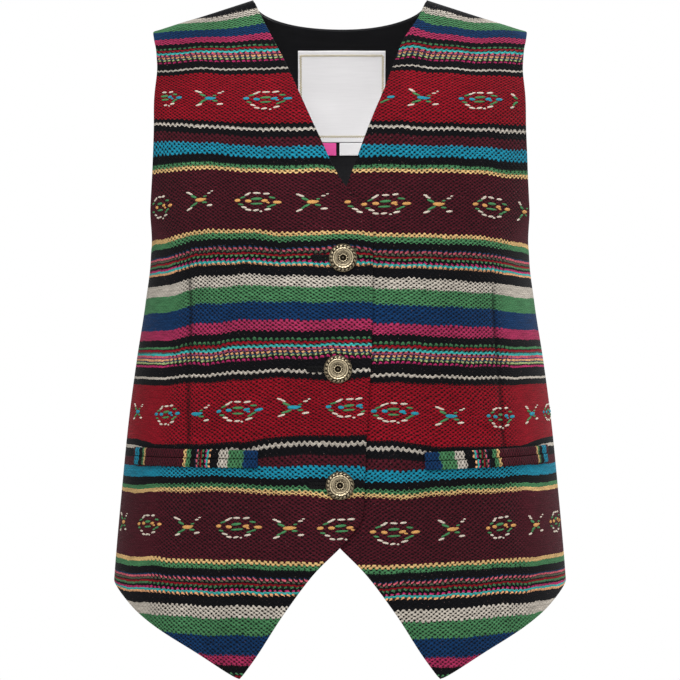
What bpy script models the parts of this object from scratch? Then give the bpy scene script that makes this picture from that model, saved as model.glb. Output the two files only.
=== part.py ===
"""A child's waistcoat in folk-striped cotton, filled out as when worn, with nobody inside it.

Millimetres until a mesh is made, then metres. X is to the wearer's left, -Y is the front, +Z is up.
The origin lies between the two shoulder neck points, in the plane of the shoulder and side seams.
"""

import math

import bpy
import numpy as np
from mathutils import Matrix, Vector
from mathutils.bvhtree import BVHTree

MM = 0.001

# Walls and gaps
FRONT_WALL = 2.2
BACK_WALL = 1.4
LINING_WALL = 1.0
LABEL_WALL = 0.8
WELT_WALL = 1.6
SEAM_GAP = 0.3
LAYER_GAP = 0.4

# The body of the garment as stacked oval rings
# height, half width, depth to the front, depth to the back
RINGS = np.array([
    (-520, 171.5, 123.0, 100.0),
    (-470, 169.5, 120.0, 97.0),
    (-430, 167.0, 116.5, 93.0),
    (-410, 165.5, 114.0, 90.0),
    (-360, 161.0, 108.0, 83.0),
    (-310, 156.0, 103.5, 78.0),
    (-265, 150.0, 100.0, 77.0),
    (-225, 143.8, 98.5, 80.0),
    (-188, 139.8, 98.0, 85.0),
    (-155, 147.0, 95.5, 87.5),
    (-125, 150.5, 92.0, 88.0),
    (-95, 153.5, 84.0, 86.0),
    (-70, 156.5, 71.0, 82.0),
    (-50, 156.0, 57.0, 76.0),
    (-35, 151.0, 46.0, 70.0),
    (-24, 138.5, 36.0, 64.0),
    (-22, 132.3, 34.4, 62.6),
    (-12, 101.0, 26.0, 55.0),
    (0, 64.0, 18.0, 40.0),
])
BACK_SQUARENESS = 0.10

# Shoulder seam and armhole
NECK_HALF_WIDTH = 64.0
SHOULDER_HALF_WIDTH = 138.5
SHOULDER_DROP = 24.0
ARMHOLE_MIDDLE = -106.0
ARMHOLE_HALF_HEIGHT = 82.0
# widest reach of the armhole to the front and to the back, and how full its oval is
ARMHOLE_REACH = {"front": (40.0, 1.0), "back": (50.0, 0.8)}

# Neck edge and front edge, measured from the middle towards the front's own side
# height, overlapping front, front beneath
FRONT_EDGE = np.array([
    (-386.5, -10.5, -10.5),
    (-377.5, -15.4, -15.4),
    (-367, -16.6, -16.6),
    (-330, -18.2, -18.2),
    (-231, -22.8, -20.0),
    (-177, -23.0, -18.0),
    (-165, -20.0, -12.0),
    (-155, -13.6, -4.0),
    (-144, -4.7, 4.0),
    (-135, 1.4, 7.4),
    (-122.5, 7.8, 12.0),
    (-109.5, 13.7, 16.6),
    (-92, 21.7, 23.2),
    (-70.5, 31.0, 32.0),
    (-50.5, 39.6, 39.3),
    (-34.5, 47.6, 45.3),
    (-15.5, 57.0, 57.0),
    (0, 64.0, 64.0),
])
OVER, UNDER = 1, 2

# Pointed hem of a front, from its front edge to its tip and from the tip to the side seam
# distance from the middle, height
HEM_TO_TIP = np.array([
    (-10.5, -386.5),
    (0, -397.2),
    (18.1, -415.2),
    (39.3, -443.2),
    (58.7, -473.4),
    (70.3, -489.2),
])
HEM_TO_SIDE = np.array([
    (70.3, -489.2),
    (74.7, -487.2),
    (100, -473.0),
    (144.8, -448.1),
    (167, -428.8),
])
SIDE_HEM = -428.8

# Back neck and back hem
BACK_NECK_DROP = 15.0
BACK_NECK_FULLNESS = 0.55
BACK_HEM_MIDDLE = -398.0

# The overlapping front stands over the other by its own wall and a gap, and eases down to its side
OVERLAP_RISE = FRONT_WALL + 0.5
OVERLAP_FULL_TO = 26.0
OVERLAP_GONE_AT = 90.0
OVERLAP_STARTS_BELOW = -30.0
OVERLAP_FULL_BELOW = -110.0

# Soft folds: face, x, height, length, width, lean from upright in degrees, depth
FOLDS = [
    ("front", -104, -240, 95, 24, 36, 2.2),
    ("front", 102, -246, 90, 24, -32, 2.0),
    ("front", -104, -402, 110, 26, 6, 2.0),
    ("front", 96, -398, 120, 26, -5, 2.2),
    ("front", -38, -425, 90, 24, 9, 1.6),
    ("front", 34, -418, 80, 24, -10, 1.5),
    ("back", -52, -232, 200, 28, 4, 3.0),
    ("back", 57, -244, 180, 28, -5, 2.6),
    ("back", -104, -262, 150, 24, 8, 2.4),
    ("back", 99, -250, 170, 24, -7, 2.8),
    ("back", 6, -352, 120, 26, 2, 1.8),
]

# Grid of the cloth panels
ARM_ROWS = 12
ARM_CROWDING = 1.2
SIDE_ROWS = 13
TIP_COLUMNS = 6
FLANK_COLUMNS = 13
NECK_COLUMNS = 6
SHOULDER_COLUMNS = 5

# Buttons on the middle line: name, x, height
BUTTONS = [
    ("button_top", 2.1, -193.9),
    ("button_middle", -1.4, -272.3),
    ("button_bottom", 0.0, -353.8),
]
# Turned outline of a button: radius, height above the cloth
BUTTON_OUTLINE = [
    (0.0, -2.4),
    (1.7, -2.4),
    (1.7, 0.5),
    (8.9, 0.5),
    (10.0, 1.3),
    (9.6, 2.6),
    (7.2, 2.6),
    (6.0, 3.9),
    (4.6, 3.9),
    (3.6, 3.1),
    (1.6, 3.7),
    (0.0, 3.2),
]
BUTTON_SIDES = 24

# A buttonhole is a cut that widens round the button's shank
HOLE_RADIUS = 2.3
HOLE_SLOT_HALF = 0.5
HOLE_LENGTH = 21.0
HOLE_ARC_STEPS = 14
HOLE_CUT_DEPTH = 9.0

# Double welts of the pockets: name, inner end, outer end, middle height at the inner and outer end
POCKETS = [
    ("right", -57.0, -148.5, -335.6, -335.6),
    ("left", 59.4, 150.3, -337.0, -333.9),
]
WELT_HEIGHT = 6.3
WELT_STEPS = 18

# Label and tabs inside the back of the neck: name, left, right, top, bottom
TABS = [
    ("neck_label", -32.4, 35.1, -29.0, -99.0),
    ("size_tab", -18.5, -2.9, -99.4, -109.2),
    ("care_tab", -0.4, 19.2, -99.4, -109.2),
]
TAB_GRID = 7.0

# name: red, green, blue, roughness, metallic
FINISHES = {
    "striped_cotton": (0.22, 0.02, 0.03, 0.90, 0.0),
    "black_cotton": (0.012, 0.012, 0.014, 0.85, 0.0),
    "black_lining": (0.010, 0.010, 0.012, 0.60, 0.0),
    "welt_cotton": (0.10, 0.14, 0.10, 0.90, 0.0),
    "antique_brass": (0.55, 0.43, 0.25, 0.35, 1.0),
    "label_satin": (0.80, 0.80, 0.82, 0.45, 0.0),
    "size_tab_satin": (0.65, 0.04, 0.26, 0.50, 0.0),
    "care_tab_satin": (0.78, 0.78, 0.80, 0.50, 0.0),
}


def eased(start, end, value):
    """A smooth step: 0 at start, 1 at end."""
    t = np.clip((value - start) / (end - start), 0.0, 1.0)
    return t * t * (3.0 - 2.0 * t)


def curve(known, wanted, at):
    """Monotone cubic through the known points, straight beyond them.

    The slope at a point is the weighted harmonic mean of the chords beside it, or 0 at a turn.
    """
    step = np.diff(known)
    chord = np.diff(wanted) / step
    before, after = chord[:-1], chord[1:]
    same = before * after > 0
    lead = 2 * step[1:] + step[:-1]
    trail = step[1:] + 2 * step[:-1]
    spread = np.where(same, lead / np.where(same, before, 1) + trail / np.where(same, after, 1), 1)
    slope = np.concatenate([chord[:1], np.where(same, (lead + trail) / spread, 0), chord[-1:]])
    at = np.asarray(at, dtype=float)
    inside = np.clip(at, known[0], known[-1])
    i = np.clip(np.searchsorted(known, inside) - 1, 0, len(step) - 1)
    t = (inside - known[i]) / step[i]
    value = (wanted[i] * (1 + 2 * t) * (1 - t) ** 2 + wanted[i + 1] * t * t * (3 - 2 * t)
             + step[i] * (slope[i] * t * (1 - t) ** 2 - slope[i + 1] * t * t * (1 - t)))
    beyond = at - inside
    return value + beyond * np.where(beyond < 0, slope[0], slope[-1])


def half_width(height):
    return curve(RINGS[:, 0], RINGS[:, 1], height)


def depth(height, face):
    return curve(RINGS[:, 0], RINGS[:, 2 if face == "front" else 3], height)


def body_point(angle, height, face):
    """Point of an oval ring: x = half width * sin(angle), y = depth * cos(angle) to the face's side."""
    reach = depth(height, face) * np.cos(angle)
    if face == "front":
        y = -reach - SEAM_GAP / 2
    else:
        y = reach * (1 + BACK_SQUARENESS * np.sin(angle) ** 2) + SEAM_GAP / 2
    return np.stack([half_width(height) * np.sin(angle), y, height + 0 * angle], axis=-1)


def body_normal(angle, height, face):
    """Outward normal, from the cross product of small steps round and up the body."""
    turn, rise = 0.001, 0.3
    around = body_point(angle + turn, height, face) - body_point(angle - turn, height, face)
    upward = body_point(angle, height + rise, face) - body_point(angle, height - rise, face)
    normal = np.cross(around, upward)
    if face == "back":
        normal = -normal
    return normal / np.linalg.norm(normal, axis=-1, keepdims=True)


def fold_depth(point, angle, face):
    """Depth of the soft folds at a point: bell-shaped across a fold, fading to its ends and the seams."""
    total = np.zeros(point.shape[:-1])
    for fold_face, x, height, length, width, lean, fold in FOLDS:
        if fold_face != face:
            continue
        tilt = math.radians(lean)
        dx = point[..., 0] - x
        dz = point[..., 2] - height
        along = dz * math.cos(tilt) - dx * math.sin(tilt)
        across = dx * math.cos(tilt) + dz * math.sin(tilt)
        ends = np.cos(np.clip(along / length, -0.5, 0.5) * math.pi) ** 2
        total += fold * ends * np.exp(-(across / width) ** 2)
    return total * eased(0.0, 0.35, np.cos(angle))


def overlap_rise(own_x, height):
    """How far the overlapping front stands off the body."""
    rise = OVERLAP_RISE * (1 - eased(OVERLAP_FULL_TO, OVERLAP_GONE_AT, own_x))
    return rise * eased(OVERLAP_STARTS_BELOW, OVERLAP_FULL_BELOW, height)


def cloth_layer(angle, height, face, out):
    """Points of a layer of cloth that lies out from the body, with the folds pressed into it."""
    base = body_point(angle, height, face)
    return base + body_normal(angle, height, face) * (out - fold_depth(base, angle, face))[..., None]


def side_line(face):
    """Share of the way down, height and angle of each row at the armhole and side seam.

    The armhole is half an oval in side view, walked by angle, and the side seam is upright.
    """
    turn = math.pi * (np.arange(ARM_ROWS + 1) / ARM_ROWS) ** ARM_CROWDING
    armhole = ARMHOLE_MIDDLE + ARMHOLE_HALF_HEIGHT * np.cos(turn)
    seam = np.linspace(armhole[-1], SIDE_HEM, SIDE_ROWS + 1)[1:]
    height = np.concatenate([armhole, seam])
    reach, fullness = ARMHOLE_REACH[face]
    away = np.concatenate([reach * np.abs(np.sin(turn)) ** fullness, 0 * seam])
    away[ARM_ROWS] = 0.0
    angle = np.arccos(np.clip(away / depth(height, face), 0, 1))
    share = (height - height[0]) / (height[-1] - height[0])
    return share[:, None], height[:, None], angle[:, None]


def hem_height(angle):
    """Height of a front's hem at an angle, found by stepping between width and height."""
    height = np.full_like(angle, SIDE_HEM)
    tip_x = HEM_TO_TIP[-1, 0]
    for _ in range(12):
        x = half_width(height) * np.sin(angle)
        inner = curve(HEM_TO_TIP[:, 0], HEM_TO_TIP[:, 1], np.minimum(x, tip_x))
        outer = curve(HEM_TO_SIDE[:, 0], HEM_TO_SIDE[:, 1], np.maximum(x, tip_x))
        height = np.where(x < tip_x, inner, outer)
    return height


def spread_rows(x_left, x_right, angle_left, angle_right, across, height, share):
    """Angle of each grid point: even in x beside the armhole, even in angle below it."""
    x = x_left + (x_right - x_left) * across
    by_x = np.arcsin(np.clip(x / half_width(height), -1, 1))
    by_angle = angle_left + (angle_right - angle_left) * across
    lower = eased(0.12, 0.40, share)
    return by_x * (1 - lower) + by_angle * lower


def front_grid(edge):
    """Angles and heights of a front, rows down from the shoulder seam, columns out to its own side."""
    share, side_height, side_angle = side_line("front")
    tip_x, tip_height = HEM_TO_TIP[-1]
    first = math.asin(HEM_TO_TIP[0, 0] / half_width(HEM_TO_TIP[0, 1]))
    tip = math.asin(tip_x / half_width(tip_height))
    tip_share = (tip - first) / (math.pi / 2 - first)
    inner = np.linspace(0, tip_share, TIP_COLUMNS + 1)
    outer = np.linspace(tip_share, 1, FLANK_COLUMNS + 1)[1:]
    across = np.concatenate([inner, outer])[None, :]
    top = -SHOULDER_DROP * across
    base = HEM_TO_TIP[0, 1] + (SIDE_HEM - HEM_TO_TIP[0, 1]) * across
    hem = hem_height(first + (math.pi / 2 - first) * across)
    height = top + (base - top) * share + (hem - base) * share ** 3
    edge_x = curve(FRONT_EDGE[:, 0], FRONT_EDGE[:, edge], height[:, :1])
    edge_angle = np.arcsin(np.clip(edge_x / half_width(height[:, :1]), -1, 1))
    side_x = half_width(side_height) * np.sin(side_angle)
    angle = spread_rows(edge_x, side_x, edge_angle, side_angle, across, height, share)
    angle[0, :] = math.pi / 2
    return angle, height


def back_grid():
    """Angles and heights of the back, rows down from the neck and shoulder seams."""
    share, side_height, side_angle = side_line("back")
    neck = NECK_HALF_WIDTH * np.sin(np.linspace(0, math.pi / 2, NECK_COLUMNS + 1))
    shoulder = np.linspace(NECK_HALF_WIDTH, SHOULDER_HALF_WIDTH, SHOULDER_COLUMNS + 1)[1:]
    half = np.concatenate([neck, shoulder])
    top_x = np.concatenate([-half[:0:-1], half])[None, :]
    even = np.linspace(-1, 1, top_x.shape[1])[None, :]
    neck_share = np.clip(np.abs(top_x) / NECK_HALF_WIDTH, 0, 1)
    neck_line = -BACK_NECK_DROP * (1 - neck_share ** 2) ** BACK_NECK_FULLNESS
    run = SHOULDER_HALF_WIDTH - NECK_HALF_WIDTH
    seam_line = -SHOULDER_DROP * (np.abs(top_x) - NECK_HALF_WIDTH) / run
    on_seam = np.abs(top_x) >= NECK_HALF_WIDTH - 0.001
    top = np.where(on_seam, seam_line, neck_line)
    hem = BACK_HEM_MIDDLE + (SIDE_HEM - BACK_HEM_MIDDLE) * np.sin(even * math.pi / 2) ** 2
    height = top + (hem - top) * share
    side_x = half_width(side_height) * np.sin(side_angle)
    x = top_x / SHOULDER_HALF_WIDTH * side_x
    by_x = np.arcsin(np.clip(x / half_width(height), -1, 1))
    lower = eased(0.12, 0.40, share)
    angle = by_x * (1 - lower) + even * side_angle * lower
    angle[0, :] = np.where(on_seam[0], np.sign(top_x[0]) * math.pi / 2, angle[0, :])
    return angle, height


def finish(name):
    """One matte or metallic finish, shared by the pieces that are made of it."""
    material = bpy.data.materials.get(name)
    if material is None:
        red, green, blue, roughness, metallic = FINISHES[name]
        material = bpy.data.materials.new(name)
        material.use_nodes = True
        shader = material.node_tree.nodes["Principled BSDF"]
        shader.inputs["Base Color"].default_value = (red, green, blue, 1.0)
        shader.inputs["Roughness"].default_value = roughness
        shader.inputs["Metallic"].default_value = metallic
    return material


def new_object(name, points, faces, finish_name):
    """A mesh object from points in millimetres, with its faces turned outwards."""
    points = np.asarray(points, dtype=float)
    volume = 0.0
    for face in faces:
        for a, b in zip(face[1:-1], face[2:]):
            volume += np.dot(points[face[0]], np.cross(points[a], points[b]))
    if volume < 0:
        faces = [tuple(reversed(face)) for face in faces]
    mesh = bpy.data.meshes.new(name)
    mesh.from_pydata([tuple(point) for point in points * MM], [], faces)
    mesh.update()
    thing = bpy.data.objects.new(name, mesh)
    thing.data.materials.append(finish(finish_name))
    bpy.context.scene.collection.objects.link(thing)
    return thing


def wall(name, outer, inner, finish_name):
    """A closed wall between two grids of points: both sides and the rim round them.

    Every square is split along the same diagonal, so layers over each other stay parallel.
    """
    rows, columns = outer.shape[:2]
    index = np.arange(rows * columns).reshape(rows, columns)
    below = index + rows * columns
    faces = []
    for r in range(rows - 1):
        for c in range(columns - 1):
            for ring in (((r, c), (r, c + 1), (r + 1, c + 1)), ((r, c), (r + 1, c + 1), (r + 1, c))):
                faces.append(tuple(int(index[at]) for at in ring))
                faces.append(tuple(int(below[at]) for at in reversed(ring)))
    border = np.concatenate([index[0, :], index[1:, -1], index[-1, -2::-1], index[-2:0:-1, 0]])
    for a, b in zip(border, np.roll(border, -1)):
        faces.append((int(b), int(a), int(a) + rows * columns, int(b) + rows * columns))
    points = np.concatenate([outer.reshape(-1, 3), inner.reshape(-1, 3)])
    thing = new_object(name, points, faces, finish_name)
    thing.data.shade_smooth()
    thing.data.set_sharp_from_angle(angle=math.radians(50))
    return thing


def front(name, side, edge):
    """One front: its outer layer follows the body, and the overlapping one stands off the other."""
    angle, height = front_grid(edge)
    out = 0.0
    if edge == OVER:
        out = overlap_rise(half_width(height) * np.sin(angle), height)
    outer = cloth_layer(side * angle, height, "front", out)
    inner = cloth_layer(side * angle, height, "front", out - FRONT_WALL)
    return wall(name, outer, inner, "striped_cotton")


def back_layer(name, out, thickness, finish_name):
    """The back or its lining, a layer of cloth that starts some way out from the body."""
    angle, height = back_grid()
    outer = cloth_layer(angle, height, "back", out)
    inner = cloth_layer(angle, height, "back", out - thickness)
    return wall(name, outer, inner, finish_name)


def surface_of(thing):
    """A tree to look up the flat faces of a finished panel, in metres."""
    points = [vertex.co.copy() for vertex in thing.data.vertices]
    return BVHTree.FromPolygons(points, [tuple(face.vertices) for face in thing.data.polygons])


def laid_on(tree, x, height, face, towards, gap, thickness):
    """Two grids of points for a piece that lies on a panel, found by looking along Y at its faces.

    Each point moves off the panel along the body's normal, by the gap and by the gap and wall.
    """
    near = np.zeros(x.shape + (3,))
    far = np.zeros(x.shape + (3,))
    look = Vector((0, 1, 0))
    start_y = -0.3 if face == "front" else 0.0
    for at in np.ndindex(x.shape):
        start = Vector((x[at] * MM, start_y, height[at] * MM))
        hit = np.array(tree.ray_cast(start, look)[0]) / MM
        angle = np.arcsin(np.clip(x[at] / half_width(height[at]), -1, 1))
        normal = body_normal(angle, height[at], face) * towards
        near[at] = hit + normal * gap
        far[at] = hit + normal * (gap + thickness)
    return far, near


def welts(panels):
    """Two folded strips for each pocket, one above and one below its mouth."""
    for side, inner_end, outer_end, inner_height, outer_height in POCKETS:
        middle = np.linspace(inner_height, outer_height, WELT_STEPS + 1)
        width = half_width(middle)
        turn = np.linspace(math.asin(inner_end / width[0]), math.asin(outer_end / width[-1]), WELT_STEPS + 1)
        x = width * np.sin(turn)
        for place, direction in (("upper", 1), ("lower", -1)):
            edges = np.array([SEAM_GAP / 2, WELT_HEIGHT / 2, WELT_HEIGHT])[:, None]
            grid_x = np.repeat(x[None, :], 3, axis=0)
            grid_height = middle[None, :] + direction * edges
            far, near = laid_on(panels[side], grid_x, grid_height, "front", 1, LAYER_GAP, WELT_WALL)
            wall(f"welt_{side}_{place}", far, near, "welt_cotton")


def tabs(tree):
    """The bare neck label and the two tabs that hang from its lower edge."""
    finishes = {"neck_label": "label_satin", "size_tab": "size_tab_satin", "care_tab": "care_tab_satin"}
    for name, left, right, top, bottom in TABS:
        columns = max(2, round((right - left) / TAB_GRID))
        rows = max(1, round((top - bottom) / TAB_GRID))
        x, height = np.meshgrid(np.linspace(left, right, columns + 1), np.linspace(top, bottom, rows + 1))
        far, near = laid_on(tree, x, height, "back", -1, LAYER_GAP, LABEL_WALL)
        wall(name, far, near, finishes[name])


def seat(x, height):
    """Point and outward direction of the overlapping front where a button sits."""
    angle = np.arcsin(x / half_width(height))
    out = overlap_rise(-x, height)
    point = cloth_layer(angle, height, "front", out)
    return point, body_normal(angle, height, "front")


def stand_on(thing, point, direction):
    """Place an object with its own Z along a direction."""
    turn = Vector(direction).to_track_quat("Z", "Y").to_matrix().to_4x4()
    thing.matrix_world = Matrix.Translation(Vector(point) * MM) @ turn


def button(name, x, height):
    """A domed metal button turned about its middle, its shank through the buttonhole."""
    turns = np.arange(BUTTON_SIDES) * 2 * math.pi / BUTTON_SIDES
    points = [(0.0, 0.0, BUTTON_OUTLINE[0][1])]
    for radius, level in BUTTON_OUTLINE[1:-1]:
        points += [(radius * math.cos(t), radius * math.sin(t), level) for t in turns]
    points.append((0.0, 0.0, BUTTON_OUTLINE[-1][1]))
    faces = []
    bands = len(BUTTON_OUTLINE) - 3
    last = len(points) - 1
    for i in range(BUTTON_SIDES):
        j = (i + 1) % BUTTON_SIDES
        faces.append((0, 1 + j, 1 + i))
        top = 1 + bands * BUTTON_SIDES
        faces.append((last, top + i, top + j))
        for band in range(bands):
            low = 1 + band * BUTTON_SIDES
            high = low + BUTTON_SIDES
            faces.append((low + i, low + j, high + j, high + i))
    thing = new_object(name, points, faces, "antique_brass")
    thing.data.shade_smooth()
    thing.data.set_sharp_from_angle(angle=math.radians(40))
    point, direction = seat(x, height)
    stand_on(thing, point, direction)


def buttonhole(panel, name, x, height):
    """Cut a keyhole through the overlapping front: round at the shank, then a slot to the right side."""
    half_turn = math.pi - math.asin(HOLE_SLOT_HALF / HOLE_RADIUS)
    arc = np.linspace(half_turn, -half_turn, HOLE_ARC_STEPS)
    outline = [(-HOLE_LENGTH, HOLE_SLOT_HALF)]
    outline += [(HOLE_RADIUS * math.cos(t), HOLE_RADIUS * math.sin(t)) for t in arc]
    outline.append((-HOLE_LENGTH, -HOLE_SLOT_HALF))
    count = len(outline)
    points = [(a, -HOLE_CUT_DEPTH, b) for a, b in outline] + [(a, HOLE_CUT_DEPTH, b) for a, b in outline]
    faces = [tuple(range(count)), tuple(reversed(range(count, 2 * count)))]
    for i in range(count):
        j = (i + 1) % count
        faces.append((j, i, i + count, j + count))
    cutter = new_object(name, points, faces, "striped_cotton")
    point, _ = seat(x, height)
    cutter.location = Vector(point) * MM
    cutter.hide_render = True
    cutter.display_type = "WIRE"
    cut = panel.modifiers.new(name, "BOOLEAN")
    cut.operation = "DIFFERENCE"
    cut.solver = "EXACT"
    cut.object = cutter


def build():
    for thing in list(bpy.data.objects):
        bpy.data.objects.remove(thing)
    right = front("front_right", -1, OVER)
    left = front("front_left", 1, UNDER)
    back_layer("back", 0.0, BACK_WALL, "black_cotton")
    lining = back_layer("back_lining", -BACK_WALL - SEAM_GAP, LINING_WALL, "black_lining")
    welts({"right": surface_of(right), "left": surface_of(left)})
    tabs(surface_of(lining))
    for name, x, height in BUTTONS:
        button(name, x, height)
        buttonhole(right, "hole_for_" + name, x, height)


build()
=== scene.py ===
"""Looks of a child's folk-striped waistcoat, filled out as when worn, with nobody inside it.

Shapes are worked out in millimetres and put into meshes in metres, in the frame of the CAD model:
X is to the wearer's left, -Y is the front and +Z is up. A point of the cloth is named by its angle
round the body, 0 in the middle of the front or back, and by its height.
"""

import math

import bpy
import numpy as np
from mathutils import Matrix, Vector


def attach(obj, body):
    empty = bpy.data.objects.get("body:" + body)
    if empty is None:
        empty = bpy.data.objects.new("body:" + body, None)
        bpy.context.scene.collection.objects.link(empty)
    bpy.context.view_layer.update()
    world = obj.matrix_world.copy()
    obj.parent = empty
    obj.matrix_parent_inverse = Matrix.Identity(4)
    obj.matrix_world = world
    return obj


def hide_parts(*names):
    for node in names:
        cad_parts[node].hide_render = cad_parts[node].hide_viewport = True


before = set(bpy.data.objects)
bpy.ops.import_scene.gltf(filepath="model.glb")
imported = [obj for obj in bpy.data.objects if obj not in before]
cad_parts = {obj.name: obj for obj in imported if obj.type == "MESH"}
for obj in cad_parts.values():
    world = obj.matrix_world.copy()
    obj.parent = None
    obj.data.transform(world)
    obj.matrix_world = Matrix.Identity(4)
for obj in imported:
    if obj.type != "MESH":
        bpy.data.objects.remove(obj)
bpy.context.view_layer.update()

MM = 0.001

# Walls and gaps, as in the CAD model
FRONT_WALL = 2.2
BACK_WALL = 1.4
LINING_WALL = 1.0
LABEL_WALL = 0.8
WELT_WALL = 1.6
SEAM_GAP = 0.3
LAYER_GAP = 0.4

# The body of the garment as stacked oval rings: height, half width, depth to the front and to the back
RINGS = np.array([
    (-520, 171.5, 123.0, 100.0),
    (-470, 169.5, 120.0, 97.0),
    (-430, 167.0, 116.5, 93.0),
    (-410, 165.5, 114.0, 90.0),
    (-360, 161.0, 108.0, 83.0),
    (-310, 156.0, 103.5, 78.0),
    (-265, 150.0, 100.0, 77.0),
    (-225, 143.8, 98.5, 80.0),
    (-188, 139.8, 98.0, 85.0),
    (-155, 147.0, 95.5, 87.5),
    (-125, 150.5, 92.0, 88.0),
    (-95, 153.5, 84.0, 86.0),
    (-70, 156.5, 71.0, 82.0),
    (-50, 156.0, 57.0, 76.0),
    (-35, 151.0, 46.0, 70.0),
    (-24, 138.5, 36.0, 64.0),
    (-22, 132.3, 34.4, 62.6),
    (-12, 101.0, 26.0, 55.0),
    (0, 64.0, 18.0, 40.0),
])
BACK_SQUARENESS = 0.10

# Shoulder seam and armhole
NECK_HALF_WIDTH = 64.0
SHOULDER_HALF_WIDTH = 138.5
SHOULDER_DROP = 24.0
ARMHOLE_MIDDLE = -106.0
ARMHOLE_HALF_HEIGHT = 82.0
ARMHOLE_REACH = {"front": (40.0, 1.0), "back": (50.0, 0.8)}

# Neck edge and front edge, measured from the middle towards the front's own side
# height, overlapping front, front beneath
FRONT_EDGE = np.array([
    (-386.5, -10.5, -10.5),
    (-377.5, -15.4, -15.4),
    (-367, -16.6, -16.6),
    (-330, -18.2, -18.2),
    (-231, -22.8, -20.0),
    (-177, -23.0, -18.0),
    (-165, -20.0, -12.0),
    (-155, -13.6, -4.0),
    (-144, -4.7, 4.0),
    (-135, 1.4, 7.4),
    (-122.5, 7.8, 12.0),
    (-109.5, 13.7, 16.6),
    (-92, 21.7, 23.2),
    (-70.5, 31.0, 32.0),
    (-50.5, 39.6, 39.3),
    (-34.5, 47.6, 45.3),
    (-15.5, 57.0, 57.0),
    (0, 64.0, 64.0),
])
OVER, UNDER = 1, 2

# Pointed hem of a front: distance from the middle, height
HEM_TO_TIP = np.array([
    (-10.5, -386.5),
    (0, -397.2),
    (18.1, -415.2),
    (39.3, -443.2),
    (58.7, -473.4),
    (70.3, -489.2),
])
HEM_TO_SIDE = np.array([
    (70.3, -489.2),
    (74.7, -487.2),
    (100, -473.0),
    (144.8, -448.1),
    (167, -428.8),
])
SIDE_HEM = -428.8

# Back neck and back hem
BACK_NECK_DROP = 15.0
BACK_NECK_FULLNESS = 0.55
BACK_HEM_MIDDLE = -398.0

# The overlapping front stands over the other and eases down to its side
OVERLAP_RISE = FRONT_WALL + 0.5
OVERLAP_FULL_TO = 26.0
OVERLAP_GONE_AT = 90.0
OVERLAP_STARTS_BELOW = -30.0
OVERLAP_FULL_BELOW = -110.0

# Soft folds of the CAD model: face, x, height, length, width, lean from upright in degrees, depth
FOLDS = [
    ("front", -104, -240, 95, 24, 36, 2.2),
    ("front", 102, -246, 90, 24, -32, 2.0),
    ("front", -104, -402, 110, 26, 6, 2.0),
    ("front", 96, -398, 120, 26, -5, 2.2),
    ("front", -38, -425, 90, 24, 9, 1.6),
    ("front", 34, -418, 80, 24, -10, 1.5),
    ("back", -52, -232, 200, 28, 4, 3.0),
    ("back", 57, -244, 180, 28, -5, 2.6),
    ("back", -104, -262, 150, 24, 8, 2.4),
    ("back", 99, -250, 170, 24, -7, 2.8),
    ("back", 6, -352, 120, 26, 2, 1.8),
]
# Finer creases that are pressed into the cloth between them, with the same columns
CREASES = [
    ("front", -126, -214, 70, 9, 40, 0.9),
    ("front", -116, -262, 80, 8, 58, 0.7),
    ("front", -88, -300, 90, 10, 74, -0.6),
    ("front", -60, -158, 90, 14, 12, 0.7),
    ("front", -38, -196, 46, 7, 82, 0.55),
    ("front", -32, -276, 40, 7, 96, 0.5),
    ("front", -34, -356, 44, 7, 85, 0.5),
    ("front", -98, -318, 76, 6, 88, 0.9),
    ("front", -84, -362, 60, 9, 20, 0.6),
    ("front", -124, -372, 70, 9, -12, 0.7),
    ("front", -64, -452, 56, 10, -14, 0.8),
    ("front", -108, -448, 44, 9, 10, 0.7),
    ("front", 124, -220, 66, 9, -42, 0.8),
    ("front", 112, -272, 80, 8, -60, 0.7),
    ("front", 84, -296, 84, 10, -72, -0.6),
    ("front", 62, -150, 84, 14, -14, 0.7),
    ("front", 46, -236, 60, 9, -64, 0.5),
    ("front", 102, -318, 78, 6, -87, 0.9),
    ("front", 78, -366, 64, 9, -22, 0.6),
    ("front", 128, -378, 70, 9, 10, 0.7),
    ("front", 60, -448, 54, 10, 16, 0.8),
    ("front", 112, -444, 44, 9, -8, 0.7),
    ("back", -22, -176, 150, 8, 12, 1.5),
    ("back", 30, -206, 130, 8, -18, 1.7),
    ("back", -84, -172, 100, 7, 38, 1.7),
    ("back", 82, -180, 96, 7, -42, 1.9),
    ("back", -112, -222, 84, 7, 52, 1.4),
    ("back", 114, -226, 80, 7, -48, 1.6),
    ("back", -30, -318, 120, 8, -9, 1.6),
    ("back", 42, -330, 110, 8, 13, 1.5),
    ("back", -84, -352, 96, 8, 14, 1.4),
    ("back", 90, -346, 100, 8, -12, 1.6),
    ("back", -6, -262, 90, 7, 72, -1.0),
    ("back", 62, -274, 80, 7, -66, -0.9),
    ("back", -64, -268, 84, 7, 62, -1.0),
    ("back", -8, -92, 76, 10, 5, 1.0),
    ("back", 52, -74, 60, 8, -38, 0.9),
    ("back", -56, -78, 64, 8, 36, 1.0),
]
# Creases of the lining alone, which only go inwards, away from the back
LINING_CREASES = [
    ("lining", 12, -23.5, 96, 2.2, 89, 0.9),
    ("lining", -16, -19.5, 60, 1.8, 93, 0.6),
    ("lining", -44, -58, 60, 5, 8, 0.8),
    ("lining", 47, -66, 70, 5, -6, 0.8),
    ("lining", 0, -150, 150, 9, 2, 0.9),
    ("lining", -50, -210, 120, 10, 6, 0.9),
    ("lining", 56, -230, 130, 10, -5, 0.9),
]

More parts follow.
